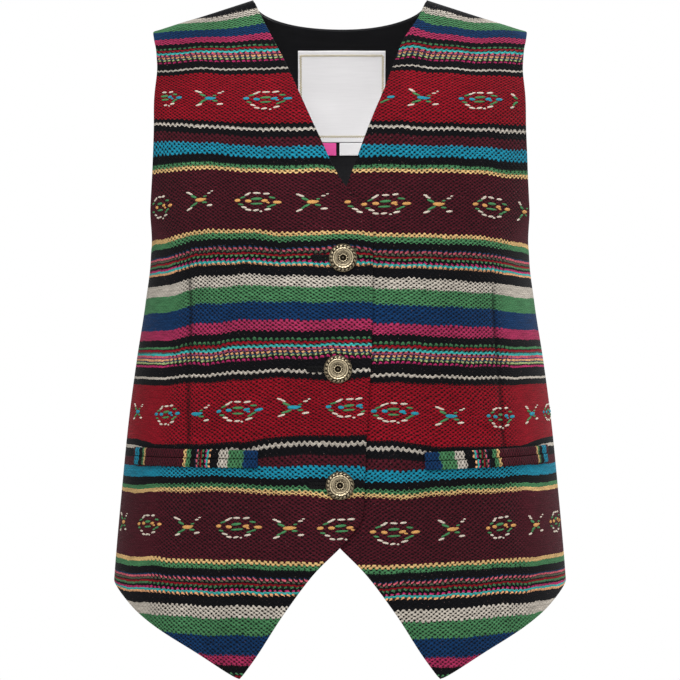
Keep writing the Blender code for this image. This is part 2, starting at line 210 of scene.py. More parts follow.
# Cloth coordinate of the stripes at each height, in millimetres down the cloth from a white stripe
GRAIN = np.array([
    (-520, 544.0),
    (-478.6, 503.2),
    (-446.3, 472.1),
    (-405.9, 431.9),
    (-340.7, 366.7),
    (-319.5, 350.1),
    (-290.0, 316.2),
    (-204.8, 232.0),
    (-184.8, 211.7),
    (-173.4, 199.9),
    (-131.4, 152.3),
    (-112.7, 134.7),
    (-95.5, 118.1),
    (-59.3, 73.5),
    (-50.7, 60.6),
    (-38.6, 45.1),
    (-31.3, 32.2),
    (-25.0, 19.4),
    (-18.8, 8.1),
    (-15.0, 0.0),
    (0, -7.0),
])
# How far the stripes of each front lie below the grain: height, drop at each distance from the middle
DROP_AT = {OVER: (0, 40, 70, 100, 130, 152), UNDER: (30, 50, 70, 100, 130, 152)}
STRIPE_DROP = {
    OVER: np.array([
        (-431, 0.0, 0.0, 0.1, 0.6, 1.2, 1.9),
        (-395, 0.6, -0.1, -0.2, -0.3, 0.4, 1.4),
        (-377, 0.8, 0.0, 0.4, 0.2, 0.9, 1.4),
        (-358, 0.6, -0.8, -1.8, -1.8, -0.7, 2.2),
        (-340, -0.5, -0.7, -1.2, -0.4, 0.6, 2.0),
        (-322, -1.5, -0.6, -1.0, 1.2, 1.4, 1.8),
        (-300, -1.8, -1.1, -0.6, 2.0, 2.8, 2.8),
        (-285, -2.2, -2.0, -1.2, 1.2, 3.2, 3.2),
        (-265, -2.2, -1.5, -0.8, 2.4, 4.6, 4.4),
        (-248, -1.7, -0.8, -1.1, 1.9, 6.8, 6.8),
        (-230, -0.9, -0.7, -0.7, 0.2, 7.3, 8.0),
        (-212, 1.2, 1.0, 0.4, 1.4, 8.0, 8.5),
        (-194, 1.6, 2.0, 0.6, 0.6, 7.6, 9.0),
        (-176, 2.1, 1.8, -0.2, -0.9, 4.8, 7.0),
        (-157, 1.7, 0.9, -0.4, -2.6, 2.2, 5.0),
        (-139, 1.4, 1.0, -0.6, -3.0, -1.4, 2.0),
        (-121, 2.6, 2.2, 0.6, -3.0, -2.6, 1.0),
        (-103, 2.8, 2.4, 0.7, -2.1, -6.0, -5.0),
        (-84, 2.0, 2.2, 0.3, -1.4, -4.5, -4.5),
        (-66, 0.5, 1.2, 0.7, -0.8, -0.6, -0.6),
        (-36, -1.0, -1.6, -0.8, 0.0, 0.5, 0.5),
        (-22, -7.0, -6.2, -2.6, 0.0, 0.5, 0.5),
        (-8, -11.0, -9.5, -6.0, 0.0, 0.5, 0.5),
    ]),
    UNDER: np.array([
        (-431, 3.2, 2.5, 1.9, 1.4, 1.0, 0.4),
        (-413, 2.8, 2.0, 0.8, 1.0, 0.5, 0.5),
        (-395, 3.8, 3.5, 1.7, 2.3, 0.3, 0.7),
        (-377, 2.8, 3.0, 1.0, 1.6, 0.8, 0.8),
        (-358, 2.0, 1.6, 0.3, -0.4, -1.3, 0.0),
        (-340, 2.1, 1.5, 0.8, 0.0, -0.4, 0.2),
        (-322, 2.2, 2.8, 3.3, 3.2, 3.2, 0.5),
        (-300, 1.2, 1.9, 3.5, 3.4, 4.3, 3.4),
        (-285, 0.4, 1.1, 2.5, 2.5, 3.2, 2.8),
        (-267, 0.8, 1.4, 2.9, 3.1, 4.8, 4.6),
        (-250, 1.2, 2.5, 3.3, 3.3, 5.5, 5.8),
        (-230, 1.0, 2.2, 2.3, 3.3, 7.1, 7.5),
        (-212, 2.7, 3.6, 3.4, 5.6, 8.0, 8.4),
        (-194, 3.4, 3.9, 3.5, 4.7, 8.2, 9.0),
        (-176, 2.8, 2.8, 2.3, 3.6, 6.3, 7.4),
        (-157, 2.6, 1.5, 1.6, 2.2, 4.5, 5.5),
        (-139, 1.0, 0.0, 0.0, 0.8, 2.5, 3.0),
        (-121, 1.0, 0.4, 0.6, 1.0, 1.8, 1.8),
        (-103, -0.4, -0.4, 1.0, 0.4, 0.2, 0.2),
        (-84, -0.1, -0.9, 0.4, -0.3, -1.5, -1.5),
        (-66, -2.7, -1.6, 0.0, 0.3, 0.4, 0.4),
        (-48, -0.6, -2.0, 0.0, 0.0, 0.0, 0.0),
        (-36, -1.5, -3.3, -1.7, -0.3, -0.4, -0.4),
        (-22, -8.0, -7.6, -3.5, -0.4, -0.5, -0.5),
        (-8, -11.0, -9.8, -6.4, 0.0, 0.0, 0.0),
    ]),
}
# The stripes dip by this much above each pocket, and part by this much above and below each button
POCKET_DIP = 5.2
BUTTON_PARTING = 1.7

# Darts: front, x and height of the upper end, x and height of the lower end
DARTS = [
    (OVER, -108.5, -187.0, -108.0, -331.0),
    (UNDER, 110.0, -208.0, 117.5, -331.0),
]
DART_HALF_WIDTH = 1.3
DART_SINK = 0.7

# Grid of the front panels and of the back panels
FRONT_GRID = {"arm": 84, "side": 128, "tip": 42, "flank": 78}
BACK_GRID = {"arm": 60, "side": 84, "neck": 40, "shoulder": 22}
ARM_CROWDING = 1.2

# Turned edges: how far a free edge and a seam edge round out, and the steps round them
FREE_EDGE_ROUND = 0.95
SEAM_EDGE_ROUND = 0.3
EDGE_STEPS = 5

# Buttons: name, x, height
BUTTONS = [
    ("button_top", 2.1, -193.9),
    ("button_middle", -1.4, -272.3),
    ("button_bottom", 0.0, -353.8),
]
DIMPLE_DEPTH = 0.8
DIMPLE_WIDE = 15.0
DIMPLE_TALL = 11.0

# Double welts of the pockets: name, front, inner end, outer end, middle height at the inner and outer
# end, and how far the stripes of the lower welt lie outward of the upper welt's
POCKETS = [
    ("right", OVER, -57.0, -148.5, -335.6, -335.6, 0.4),
    ("left", UNDER, 59.4, 150.3, -337.0, -333.9, 1.8),
]
WELT_HEIGHT = 6.3
# Place in the stripes where a welt's inner end was cut, and how much of the repeat each millimetre takes
WELT_CLOTH_START = 262.9
WELT_CLOTH_RUN = 1.17

# Label and tabs inside the back of the neck: left, right, top, bottom
LABEL = (-32.4, 35.1, -29.0, -99.0)
SIZE_TAB = (-18.5, -2.9, -99.4, -109.2)
CARE_TAB = (-0.4, 19.2, -99.4, -109.2)

# The photograph's view
PHOTO_PIXELS = 680
MM_PER_PIXEL = 0.74
CAMERA_DISTANCE = 2000.0
CAMERA_HEIGHT = -251.6
SENSOR = 36.0


def eased(start, end, value):
    """A smooth step: 0 at start, 1 at end."""
    t = np.clip((value - start) / (end - start), 0.0, 1.0)
    return t * t * (3.0 - 2.0 * t)


def curve(known, wanted, at):
    """Monotone cubic through the known points, straight beyond them.

    The slope at a point is the weighted harmonic mean of the chords beside it, or 0 at a turn.
    """
    step = np.diff(known)
    chord = np.diff(wanted) / step
    before, after = chord[:-1], chord[1:]
    same = before * after > 0
    lead = 2 * step[1:] + step[:-1]
    trail = step[1:] + 2 * step[:-1]
    spread = np.where(same, lead / np.where(same, before, 1) + trail / np.where(same, after, 1), 1)
    slope = np.concatenate([chord[:1], np.where(same, (lead + trail) / spread, 0), chord[-1:]])
    at = np.asarray(at, dtype=float)
    inside = np.clip(at, known[0], known[-1])
    i = np.clip(np.searchsorted(known, inside) - 1, 0, len(step) - 1)
    t = (inside - known[i]) / step[i]
    value = (wanted[i] * (1 + 2 * t) * (1 - t) ** 2 + wanted[i + 1] * t * t * (3 - 2 * t)
             + step[i] * (slope[i] * t * (1 - t) ** 2 - slope[i + 1] * t * t * (1 - t)))
    beyond = at - inside
    return value + beyond * np.where(beyond < 0, slope[0], slope[-1])


def unit(vectors):
    """Vectors of length 1 along the last axis."""
    return vectors / np.maximum(np.linalg.norm(vectors, axis=-1, keepdims=True), 1e-9)


# The body and the cloth on it


def half_width(height):
    """Half width of the oval ring at a height."""
    return curve(RINGS[:, 0], RINGS[:, 1], height)


def depth(height, face):
    """Depth of the oval ring at a height, to the front or to the back."""
    return curve(RINGS[:, 0], RINGS[:, 2 if face == "front" else 3], height)


def body_point(angle, height, face):
    """Point of an oval ring: x = half width * sin(angle), y = depth * cos(angle) to the face's side."""
    reach = depth(height, face) * np.cos(angle)
    if face == "front":
        y = -reach - SEAM_GAP / 2
    else:
        y = reach * (1 + BACK_SQUARENESS * np.sin(angle) ** 2) + SEAM_GAP / 2
    return np.stack([half_width(height) * np.sin(angle), y, height + 0 * angle], axis=-1)


def body_normal(angle, height, face):
    """Outward normal, from the cross product of small steps round and up the body."""
    turn, rise = 0.001, 0.3
    around = body_point(angle + turn, height, face) - body_point(angle - turn, height, face)
    upward = body_point(angle, height + rise, face) - body_point(angle, height - rise, face)
    normal = np.cross(around, upward)
    return unit(-normal if face == "back" else normal)


def fold_depth(point, angle, face, folds):
    """Depth of the folds at a point: bell-shaped across a fold, fading to its ends and the seams."""
    total = np.zeros(point.shape[:-1])
    for fold_face, x, height, length, width, lean, fold in folds:
        if fold_face != face:
            continue
        tilt = math.radians(lean)
        dx = point[..., 0] - x
        dz = point[..., 2] - height
        along = dz * math.cos(tilt) - dx * math.sin(tilt)
        across = dx * math.cos(tilt) + dz * math.sin(tilt)
        ends = np.cos(np.clip(along / length, -0.5, 0.5) * math.pi) ** 2
        total += fold * ends * np.exp(-(across / width) ** 2)
    return total * eased(0.0, 0.35, np.cos(angle))


def ripple(point):
    """Slight unevenness of worn cloth: the sum of three long crossing waves, a quarter millimetre high."""
    x, z = point[..., 0], point[..., 2]
    waves = np.sin(x / 9.0 + np.sin(z / 23.0) * 1.4)
    waves += np.sin(z / 12.5 + np.sin(x / 17.0) * 1.2)
    waves += np.sin((x + 0.7 * z) / 14.0 + 1.3)
    return 0.09 * waves


def button_dimple(point):
    """The cloth is drawn in a little round each button: depth * exp(-(x / wide)^2 - (z / tall)^2)."""
    sunk = np.zeros(point.shape[:-1])
    for _, x, height in BUTTONS:
        across = (point[..., 0] - x) / DIMPLE_WIDE
        upward = (point[..., 2] - height) / DIMPLE_TALL
        sunk += DIMPLE_DEPTH * np.exp(-across ** 2 - upward ** 2)
    return sunk


def overlap_rise(own_x, height):
    """How far the overlapping front stands off the body."""
    rise = OVERLAP_RISE * (1 - eased(OVERLAP_FULL_TO, OVERLAP_GONE_AT, own_x))
    return rise * eased(OVERLAP_STARTS_BELOW, OVERLAP_FULL_BELOW, height)


def cloth_layer(angle, height, face, out, extra=()):
    """Points of a layer of cloth that lies out from the body, with folds and creases pressed into it."""
    base = body_point(angle, height, face)
    sunk = fold_depth(base, angle, face, FOLDS + CREASES) + ripple(base) * eased(0.0, 0.3, np.cos(angle))
    if face == "front":
        sunk += button_dimple(base)
    if extra:
        sunk += fold_depth(base, angle, "lining", extra)
    return base + body_normal(angle, height, face) * (out - sunk)[..., None]


def front_layer(angle, height, edge, out):
    """Points of a layer of a front, which stands off the body where it overlaps, with its dart sunk in."""
    side = -1 if edge == OVER else 1
    x = half_width(height) * np.sin(angle)
    if edge == OVER:
        out = out + overlap_rise(side * x, height)
    out = out - DART_SINK * dart_line(x, height, edge)
    return cloth_layer(angle, height, "front", out)


def dart_line(x, height, edge):
    """How near a point is to the dart's seam: 1 on it, 0 beside it, fading out at the upper end."""
    near = np.zeros(np.shape(x))
    for front, top_x, top, low_x, low in DARTS:
        if front == edge:
            share = (height - top) / (low - top)
            seam_x = top_x + (low_x - top_x) * share
            ends = eased(-0.02, 0.12, share) * (1 - eased(0.98, 1.0, share))
            near = np.maximum(near, ends * np.exp(-((x - seam_x) / DART_HALF_WIDTH) ** 2))
    return near


def arc_length(angle, height):
    """Length round the front from its middle: the sum of short steps of the oval ring."""
    steps = 32
    turn = np.asarray(angle)[..., None] * (np.arange(steps) + 0.5) / steps
    wide = half_width(height)[..., None] * np.cos(turn)
    deep = depth(height, "front")[..., None] * np.sin(turn)
    return angle / steps * np.sqrt(wide ** 2 + deep ** 2).sum(axis=-1)


def from_table(table, places, height, across):
    """Value from a table by height and distance across: a curve down each column, eased between them."""
    at = np.clip(height, table[0, 0], table[-1, 0])
    columns = [curve(table[:, 0], table[:, i], at) for i in range(1, table.shape[1])]
    value = columns[0]
    for i in range(1, len(places)):
        value = value + (columns[i] - columns[i - 1]) * eased(places[i - 1], places[i], across)
    return value


def stripe_place(angle, height, edge):
    """Cloth coordinate of a point of a front, down the cloth across the stripes.

    It is the grain at that height, looked up higher where the stripes hang lower: by the drop of each
    front, above the pockets, and round the buttons, where the stripes part.
    """
    side = -1 if edge == OVER else 1
    x = half_width(height) * np.sin(angle)
    drop = from_table(STRIPE_DROP[edge], DROP_AT[edge], height, side * x)
    if edge == OVER:
        for _, button_x, button_height in BUTTONS:
            up = (height - button_height) / 8.0
            bell = np.exp(0.5 - 0.5 * up ** 2 - ((x - button_x + 3) / 15.0) ** 2)
            drop = drop - BUTTON_PARTING * up * bell
    for _, front, inner, outer, inner_height, _, _ in POCKETS:
        if front == edge:
            across = (x - inner) / (outer - inner)
            plateau = eased(-0.2, 0.16, across) * (1 - 0.6 * eased(0.75, 1.0, across))
            above = (height - inner_height) / 30.0
            fade = np.where(above > 0, np.exp(-above ** 2), np.exp(-(above * 10) ** 2))
            drop = drop + POCKET_DIP * plateau * fade
    wobble = 0.35 * np.sin(x / 11.0 + height / 37.0) + 0.25 * np.sin(x / 5.3 - height / 29.0)
    return curve(GRAIN[:, 0], GRAIN[:, 1], height + drop + wobble * side)


def find_on_front(u, v, edge):
    """Angle and height of a point of a front given by its cloth coordinates, by repeated correction.

    The first guess is a straight cloth on a round body. Each step moves the height by a share of the
    miss down the cloth, and the angle by the miss round it over the ring's length for each radian.
    """
    height = 26.0 - v
    angle = u / 150.0
    for _ in range(24):
        height = height + 0.6 * (stripe_place(angle, height, edge) - v)
        speed = np.hypot(half_width(height) * np.cos(angle), depth(height, "front") * np.sin(angle))
        angle = angle - (arc_length(angle, height) - u) / speed
    return angle, height


# Grids of the panels


def side_line(face, arm_rows, side_rows):
    """Share of the way down, height and angle of each row at the armhole and side seam.

    Height = middle + half height * cos(t) round the armhole, and the distance from the plane of the
    seams is the reach * |sin(t)| ^ fullness, with t from 0 at the shoulder to pi. The second share is
    that of evenly spaced rows, which the columns further in follow instead.
    """
    turn = math.pi * (np.arange(arm_rows + 1) / arm_rows) ** ARM_CROWDING
    armhole = ARMHOLE_MIDDLE + ARMHOLE_HALF_HEIGHT * np.cos(turn)
    seam = np.linspace(armhole[-1], SIDE_HEM, side_rows + 1)[1:]
    height = np.concatenate([armhole, seam])
    reach, fullness = ARMHOLE_REACH[face]
    away = np.concatenate([reach * np.abs(np.sin(turn)) ** fullness, 0 * seam])
    away[arm_rows] = 0.0
    angle = np.arccos(np.clip(away / depth(height, face), 0, 1))
    share = (height - height[0]) / (height[-1] - height[0])
    even_share = np.concatenate([np.linspace(0, share[arm_rows], arm_rows + 1), share[arm_rows + 1:]])
    return share[:, None], even_share[:, None], height[:, None], angle[:, None]


def row_height(share, arm_share, top, hem):
    """Height of each grid point from its share of the way down.

    The height of the side line, plus the rise of the top line over the shoulder's end, which fades
    with the square of the way down to the armhole's bottom, plus the drop of the hem below the
    side seam's end, which grows with the square of the way down from there.
    """
    upper = np.clip(1 - share / arm_share, 0, 1) ** 2
    lower = np.clip((share - arm_share) / (1 - arm_share), 0, 1) ** 2
    level = -SHOULDER_DROP + (SIDE_HEM + SHOULDER_DROP) * share
    return level + (top + SHOULDER_DROP) * upper + (hem - SIDE_HEM) * lower


def hem_height(angle):
    """Height of a front's hem at an angle, found by stepping between width and height."""
    height = np.full_like(angle, SIDE_HEM)
    tip_x = HEM_TO_TIP[-1, 0]
    for _ in range(12):
        x = half_width(height) * np.sin(angle)
        inner = curve(HEM_TO_TIP[:, 0], HEM_TO_TIP[:, 1], np.minimum(x, tip_x))
        outer = curve(HEM_TO_SIDE[:, 0], HEM_TO_SIDE[:, 1], np.maximum(x, tip_x))
        height = np.where(x < tip_x, inner, outer)
    return height


def front_grid(edge):
    """Angles and heights of a front, rows down from the shoulder seam, columns out to its own side."""
    grid = FRONT_GRID
    side_share, even_share, side_height, side_angle = side_line("front", grid["arm"], grid["side"])
    tip_x, tip_height = HEM_TO_TIP[-1]
    first = math.asin(HEM_TO_TIP[0, 0] / half_width(HEM_TO_TIP[0, 1]))
    tip = math.asin(tip_x / half_width(tip_height))
    tip_share = (tip - first) / (math.pi / 2 - first)
    inner = np.linspace(0, tip_share, grid["tip"] + 1)
    outer = np.linspace(tip_share, 1, grid["flank"] + 1)[1:]
    across = np.concatenate([inner, outer])[None, :]
    share = even_share + (side_share - even_share) * eased(0, 1, across)
    hem = hem_height(first + (math.pi / 2 - first) * across)
    height = row_height(share, side_share[grid["arm"]], -SHOULDER_DROP * across, hem)
    edge_x = curve(FRONT_EDGE[:, 0], FRONT_EDGE[:, edge], height[:, :1])
    edge_angle = np.arcsin(np.clip(edge_x / half_width(height[:, :1]), -1, 1))
    side_x = half_width(side_height) * np.sin(side_angle)
    by_x = np.arcsin(np.clip((edge_x + (side_x - edge_x) * across) / half_width(height), -1, 1))
    lower = eased(0.12, 0.40, share)
    angle = by_x * (1 - lower) + (edge_angle + (side_angle - edge_angle) * across) * lower
    angle[0, :] = math.pi / 2
    return angle, height


def back_grid():
    """Angles and heights of the back, rows down from the neck and shoulder seams."""
    grid = BACK_GRID
    side_share, even_share, side_height, side_angle = side_line("back", grid["arm"], grid["side"])
    step = np.linspace(0, 1, grid["neck"] + 1)
    neck = NECK_HALF_WIDTH * (0.35 * step + 0.65 * np.sin(step * math.pi / 2))
    shoulder = np.linspace(NECK_HALF_WIDTH, SHOULDER_HALF_WIDTH, grid["shoulder"] + 1)[1:]
    half = np.concatenate([neck, shoulder])
    top_x = np.concatenate([-half[:0:-1], half])[None, :]
    even = np.linspace(-1, 1, top_x.shape[1])[None, :]
    share = even_share + (side_share - even_share) * eased(0, 1, np.abs(even))
    neck_share = np.clip(np.abs(top_x) / NECK_HALF_WIDTH, 0, 1)
    neck_line = -BACK_NECK_DROP * (1 - neck_share ** 2) ** BACK_NECK_FULLNESS
    run = SHOULDER_HALF_WIDTH - NECK_HALF_WIDTH
    seam_line = -SHOULDER_DROP * (np.abs(top_x) - NECK_HALF_WIDTH) / run
    on_seam = np.abs(top_x) >= NECK_HALF_WIDTH - 0.001
    top = np.where(on_seam, seam_line, neck_line)
    hem = BACK_HEM_MIDDLE + (SIDE_HEM - BACK_HEM_MIDDLE) * np.sin(even * math.pi / 2) ** 2
    height = row_height(share, side_share[grid["arm"]], top, hem)
    side_x = half_width(side_height) * np.sin(side_angle)
    x = top_x / SHOULDER_HALF_WIDTH * side_x
    by_x = np.arcsin(np.clip(x / half_width(height), -1, 1))
    lower = eased(0.12, 0.40, share)
    angle = by_x * (1 - lower) + even * side_angle * lower
    angle[0, :] = np.where(on_seam[0], np.sign(top_x[0]) * math.pi / 2, angle[0, :])
    return angle, height


# Meshes


def put_mesh(name, points, faces, materials, face_material=None, uv=None, marks=None):
    """A mesh object at the origin from points in millimetres, with its faces turned outwards.

    uv gives each point its place on the cloth in millimetres, and marks are named values at points.
    """
    points = np.asarray(points, dtype=float)
    faces = np.asarray(faces)
    a, b, c = points[faces[:, 0]], points[faces[:, 1]], points[faces[:, 2]]
    volume = np.einsum("ij,ij->i", a, np.cross(b, c)).sum()
    if faces.shape[1] == 4:
        volume += np.einsum("ij,ij->i", a, np.cross(c, points[faces[:, 3]])).sum()
    if volume < 0:
        faces = faces[:, ::-1]
    mesh = bpy.data.meshes.new(name)
    mesh.from_pydata((points * MM).tolist(), [], faces.tolist())
    for material in materials:
        mesh.materials.append(material)
    if face_material is not None:
        mesh.polygons.foreach_set("material_index", np.asarray(face_material, dtype=np.int32))
    if uv is not None:
        corners = np.zeros(len(mesh.loops), dtype=np.int32)
        mesh.loops.foreach_get("vertex_index", corners)
        layer = mesh.uv_layers.new(name="cloth")
        layer.data.foreach_set("uv", (uv[corners] * MM).astype(np.float32).ravel())
    for mark, values in (marks or {}).items():
        attribute = mesh.attributes.new(mark, "FLOAT", "POINT")
        attribute.data.foreach_set("value", np.asarray(values, dtype=np.float32).ravel())
    mesh.polygons.foreach_set("use_smooth", np.ones(len(mesh.polygons), dtype=bool))
    mesh.update()
    piece = bpy.data.objects.new(name, mesh)
    bpy.context.scene.collection.objects.link(piece)
    return piece


def border_of(grid):
    """The points round the border of a grid, in order: along the top, down, back along, and up."""
    return np.concatenate([grid[0, :], grid[1:, -1], grid[-1, -2::-1], grid[-2:0:-1, 0]])


def drawn_in(grid, rounding, bends):
    """How far each point of a sheet moves when its border is drawn in, and the way out at the border.

    The border is cut into runs where it turns a corner. For each run a point moves along the inward
    direction of the nearest border point, by the rounding less a quarter of its distance that way.
    """
    rows, columns = grid.shape[:2]
    normal = unit(np.cross(np.gradient(grid, axis=1), np.gradient(grid, axis=0))).reshape(-1, 3)
    index = np.arange(rows * columns).reshape(rows, columns)
    flat, sizes = grid.reshape(-1, 3), rounding.ravel()
    total, away = np.zeros_like(flat), np.zeros_like(flat)
    first_and_last = ((0, 1), (-1, -2))
    sides = [(lines[end], lines[beside]) for lines in (index, index.T) for end, beside in first_and_last]
    for (line, following), corners in zip(sides, bends):
        ends = [0, *corners, len(line) - 1]
        for first, last in zip(ends[:-1], ends[1:]):
            run, beside = line[first:last + 1], following[first:last + 1]
            size = sizes[run]
            size[0], size[-1] = size[1], size[-2]
            inwards = unit(np.cross(normal[run], np.gradient(flat[run], axis=0)))
            inwards = inwards * np.sign((inwards * (flat[beside] - flat[run])).sum())
            near = ((flat[:, None, :] - flat[run][None, :, :]) ** 2).sum(axis=-1).argmin(axis=1)
            distance = ((flat - flat[run][near]) * inwards[near]).sum(axis=-1)
            amount = np.clip(size[near] - np.clip(distance, 0, None) / 4, 0, None)
            total += inwards[near] * amount[:, None]
            away[run] -= inwards
    return total.reshape(grid.shape), unit(away).reshape(grid.shape)


def wall(name, outer, inner, rounding, materials, uv=None, marks=None, bends=((), (), (), ())):
    """A closed wall between two grids of points, with a rounded rim.

    The rim is a half turn from the outer to the inner border: middle + half wall * cos(t), and
    out of the sheet by the rounding * sin(t). The borders are first drawn in by the rounding.
    The outer side and all but the last step of the rim have the first material, and the rest has
    the second. bends are the places where the top, bottom, left and right border turn a corner.
    """
    rows, columns = outer.shape[:2]
    inwards, away = drawn_in((outer + inner) / 2, rounding, bends)
    outer = outer + inwards
    inner = inner + inwards
    count = rows * columns
    index = np.arange(count).reshape(rows, columns)
    squares = np.stack([index[:-1, :-1], index[:-1, 1:], index[1:, 1:], index[1:, :-1]], axis=-1)
    squares = squares.reshape(-1, 4)
    border = border_of(index)
    size = len(border)
    top, low = border_of(outer), border_of(inner)
    edge_out, bulge = border_of(away), border_of(rounding[..., None])
    rings = [border]
    points = [outer.reshape(-1, 3), inner.reshape(-1, 3)]
    for step in range(1, EDGE_STEPS):
        turn = math.pi * step / EDGE_STEPS
        middle, half = (top + low) / 2, (top - low) / 2
        points.append(middle + half * math.cos(turn) + edge_out * bulge * math.sin(turn))
        rings.append(2 * count + (step - 1) * size + np.arange(size))
    rings.append(border + count)
    faces = [squares, squares[:, ::-1] + count]
    kinds = [np.zeros(len(squares), int), np.ones(len(squares), int)]
    for step, (near, far) in enumerate(zip(rings[:-1], rings[1:])):
        faces.append(np.stack([np.roll(near, -1), near, far, np.roll(far, -1)], axis=-1))
        kinds.append(np.full(size, 0 if step < EDGE_STEPS - 1 else 1))
    spread = {}
    for mark, values in (marks or {}).items():
        spread[mark] = spread_to_rim(values[..., None], border, count)[:, 0]
    places = None if uv is None else spread_to_rim(uv, border, count)
    kinds = np.concatenate(kinds) if len(materials) > 1 else None
    return put_mesh(name, np.concatenate(points), np.concatenate(faces), materials, kinds, places, spread)


def spread_to_rim(values, border, count):
    """Values of a grid's points, given also to the inner side and to each ring of the rim."""
    flat = values.reshape(count, -1)
    return np.concatenate([flat, flat] + [flat[border]] * (EDGE_STEPS - 1))


def closed_tubes(name, rings, materials, tube_material=None, uv=None, marks=None):
    """Closed tubes from rings of points, shaped (tubes, rings, round, 3), each end drawn to a point."""
    tubes, steps, sides = rings.shape[:3]
    ends = np.stack([rings[:, 0].mean(axis=1), rings[:, -1].mean(axis=1)], axis=1)
    each = steps * sides + 2
    points = np.concatenate([rings.reshape(tubes, -1, 3), ends], axis=1).reshape(-1, 3)
    around = np.arange(sides)
    beside = (around + 1) % sides
    faces = []
    for step in range(steps - 1):
        low, high = step * sides, (step + 1) * sides
        faces.append(np.stack([low + around, low + beside, high + beside], axis=-1))
        faces.append(np.stack([low + around, high + beside, high + around], axis=-1))
    first, last = steps * sides, steps * sides + 1
    faces.append(np.stack([np.full(sides, first), beside, around], axis=-1))
    top = (steps - 1) * sides
    faces.append(np.stack([np.full(sides, last), top + around, top + beside], axis=-1))
    one = np.concatenate(faces)
    every = (one[None, :, :] + (np.arange(tubes) * each)[:, None, None]).reshape(-1, 3)
    kinds = None if tube_material is None else np.repeat(tube_material, len(one))
    return put_mesh(name, points, every, materials, kinds, uv, marks)


def thread_rings(centre, along, across, out, sides=6, steps=5, taper=4):
    """Rings of short rounded threads: along them by s, and round them by t.

    Point = centre + along * s + (across * cos(t) + out * sin(t)) * (1 - |s|^taper)^(1/2), s from -1
    to 1. The three directions of a thread hold its half length, half width and height.
    """
    s = np.linspace(-0.94, 0.94, steps)
    t = np.arange(sides) * 2 * math.pi / sides
    thick = np.sqrt(1 - np.abs(s) ** taper)
    shape = (slice(None), None, None, slice(None))
    ring = across[shape] * np.cos(t)[None, None, :, None] + out[shape] * np.sin(t)[None, None, :, None]
    return centre[shape] + along[shape] * s[None, :, None, None] + ring * thick[None, :, None, None]


# Materials


MATH = "ShaderNodeMath"
VECTORS = "ShaderNodeVectorMath"
MIX = "ShaderNodeMix"
RANGE = "ShaderNodeMapRange"
NOISE = "ShaderNodeTexNoise"
BUMP = "ShaderNodeBump"


def linear(hex_colour):
    """A linear colour from sRGB hex: each channel c is c / 12.92, or ((c + 0.055) / 1.055) ^ 2.4."""
    channels = [int(hex_colour[i:i + 2], 16) / 255 for i in (1, 3, 5)]
    return tuple(c / 12.92 if c <= 0.04045 else ((c + 0.055) / 1.055) ** 2.4 for c in channels) + (1.0,)


def put(tree, kind, inputs=(), out=0, **settings):
    """Adds a node with its settings and its links or values, and returns one of its outputs."""
    made = tree.nodes.new(kind)
    for name, value in settings.items():
        setattr(made, name, value)
    for place, value in (inputs.items() if isinstance(inputs, dict) else enumerate(inputs)):
        if isinstance(value, bpy.types.NodeSocket):
            tree.links.new(value, made.inputs[place])
        elif value is not None:
            made.inputs[place].default_value = value
    return made.outputs[out]


def new_material(name, **shader_values):
    """A material with one Principled shader and the values of its sockets. Returns it with its tree."""
    material = bpy.data.materials.new(name)
    material.use_nodes = True
    tree = material.node_tree
    shader = tree.nodes["Principled BSDF"]
    for socket, value in shader_values.items():
        shader.inputs[socket.replace("_", " ")].default_value = value
    return material, tree, shader


def fill_ramp(ramp, stops):
    """Sets a colour ramp to plain steps: each stop is its place from 0 to 1 and its colour with alpha."""
    ramp.interpolation = "CONSTANT"
    for place, _ in stops[1:-1]:
        ramp.elements.new(place)
    ramp.elements[-1].position = stops[-1][0]
    for element, (place, colour) in zip(ramp.elements, stops):
        element.position = place
        element.color = colour


# Dyed cotton yarns
YARN = {
    "white": "#9d968c",
    "green": "#386542",
    "blue": "#0a284a",
    "pink": "#842344",
    "black": "#08080b",
    "red": "#6f0816",
    "maroon": "#390e17",
    "turquoise": "#136a80",
    "yellow": "#b09060",
    "salmon": "#a84c58",
    "grey": "#39423f",
    "olive": "#47483a",
    "teal": "#2b8c88",
    "peach": "#bd8a62",
    "magenta": "#962152",
    "purple": "#553057",
    "navy": "#0e2a42",
    "lime": "#8a9866",
}
# One repeat of the stripes down the cloth: yarn, height in millimetres, how strongly the warp dots show
REPEAT = [
    ("white", 8.1, 1.0),
    ("green", 11.3, 0.92),
    ("blue", 12.8, 0.85),
    ("pink", 7.0, 0.85),
    ("black", 5.9, 0.0),
    ("lines_two", 15.5, 0.0),
    ("black", 6.6, 0.0),
    ("white", 2.1, 0.0),
    ("black", 4.2, 0.0),
    ("red", 44.6, 0.95),
    ("black", 3.7, 0.0),
    ("white", 1.6, 0.0),
    ("black", 4.7, 0.0),
    ("maroon", 6.6, 0.95),
    ("turquoise", 6.9, 1.0),
    ("black", 6.0, 0.0),
    ("green", 2.2, 0.95),
    ("yellow", 2.5, 0.95),
    ("maroon", 47.6, 0.95),
    ("yellow", 3.1, 0.95),
    ("green", 2.8, 0.95),
    ("black", 5.9, 0.0),
    ("lines_one", 13.0, 0.0),
    ("black", 7.35, 0.0),
]
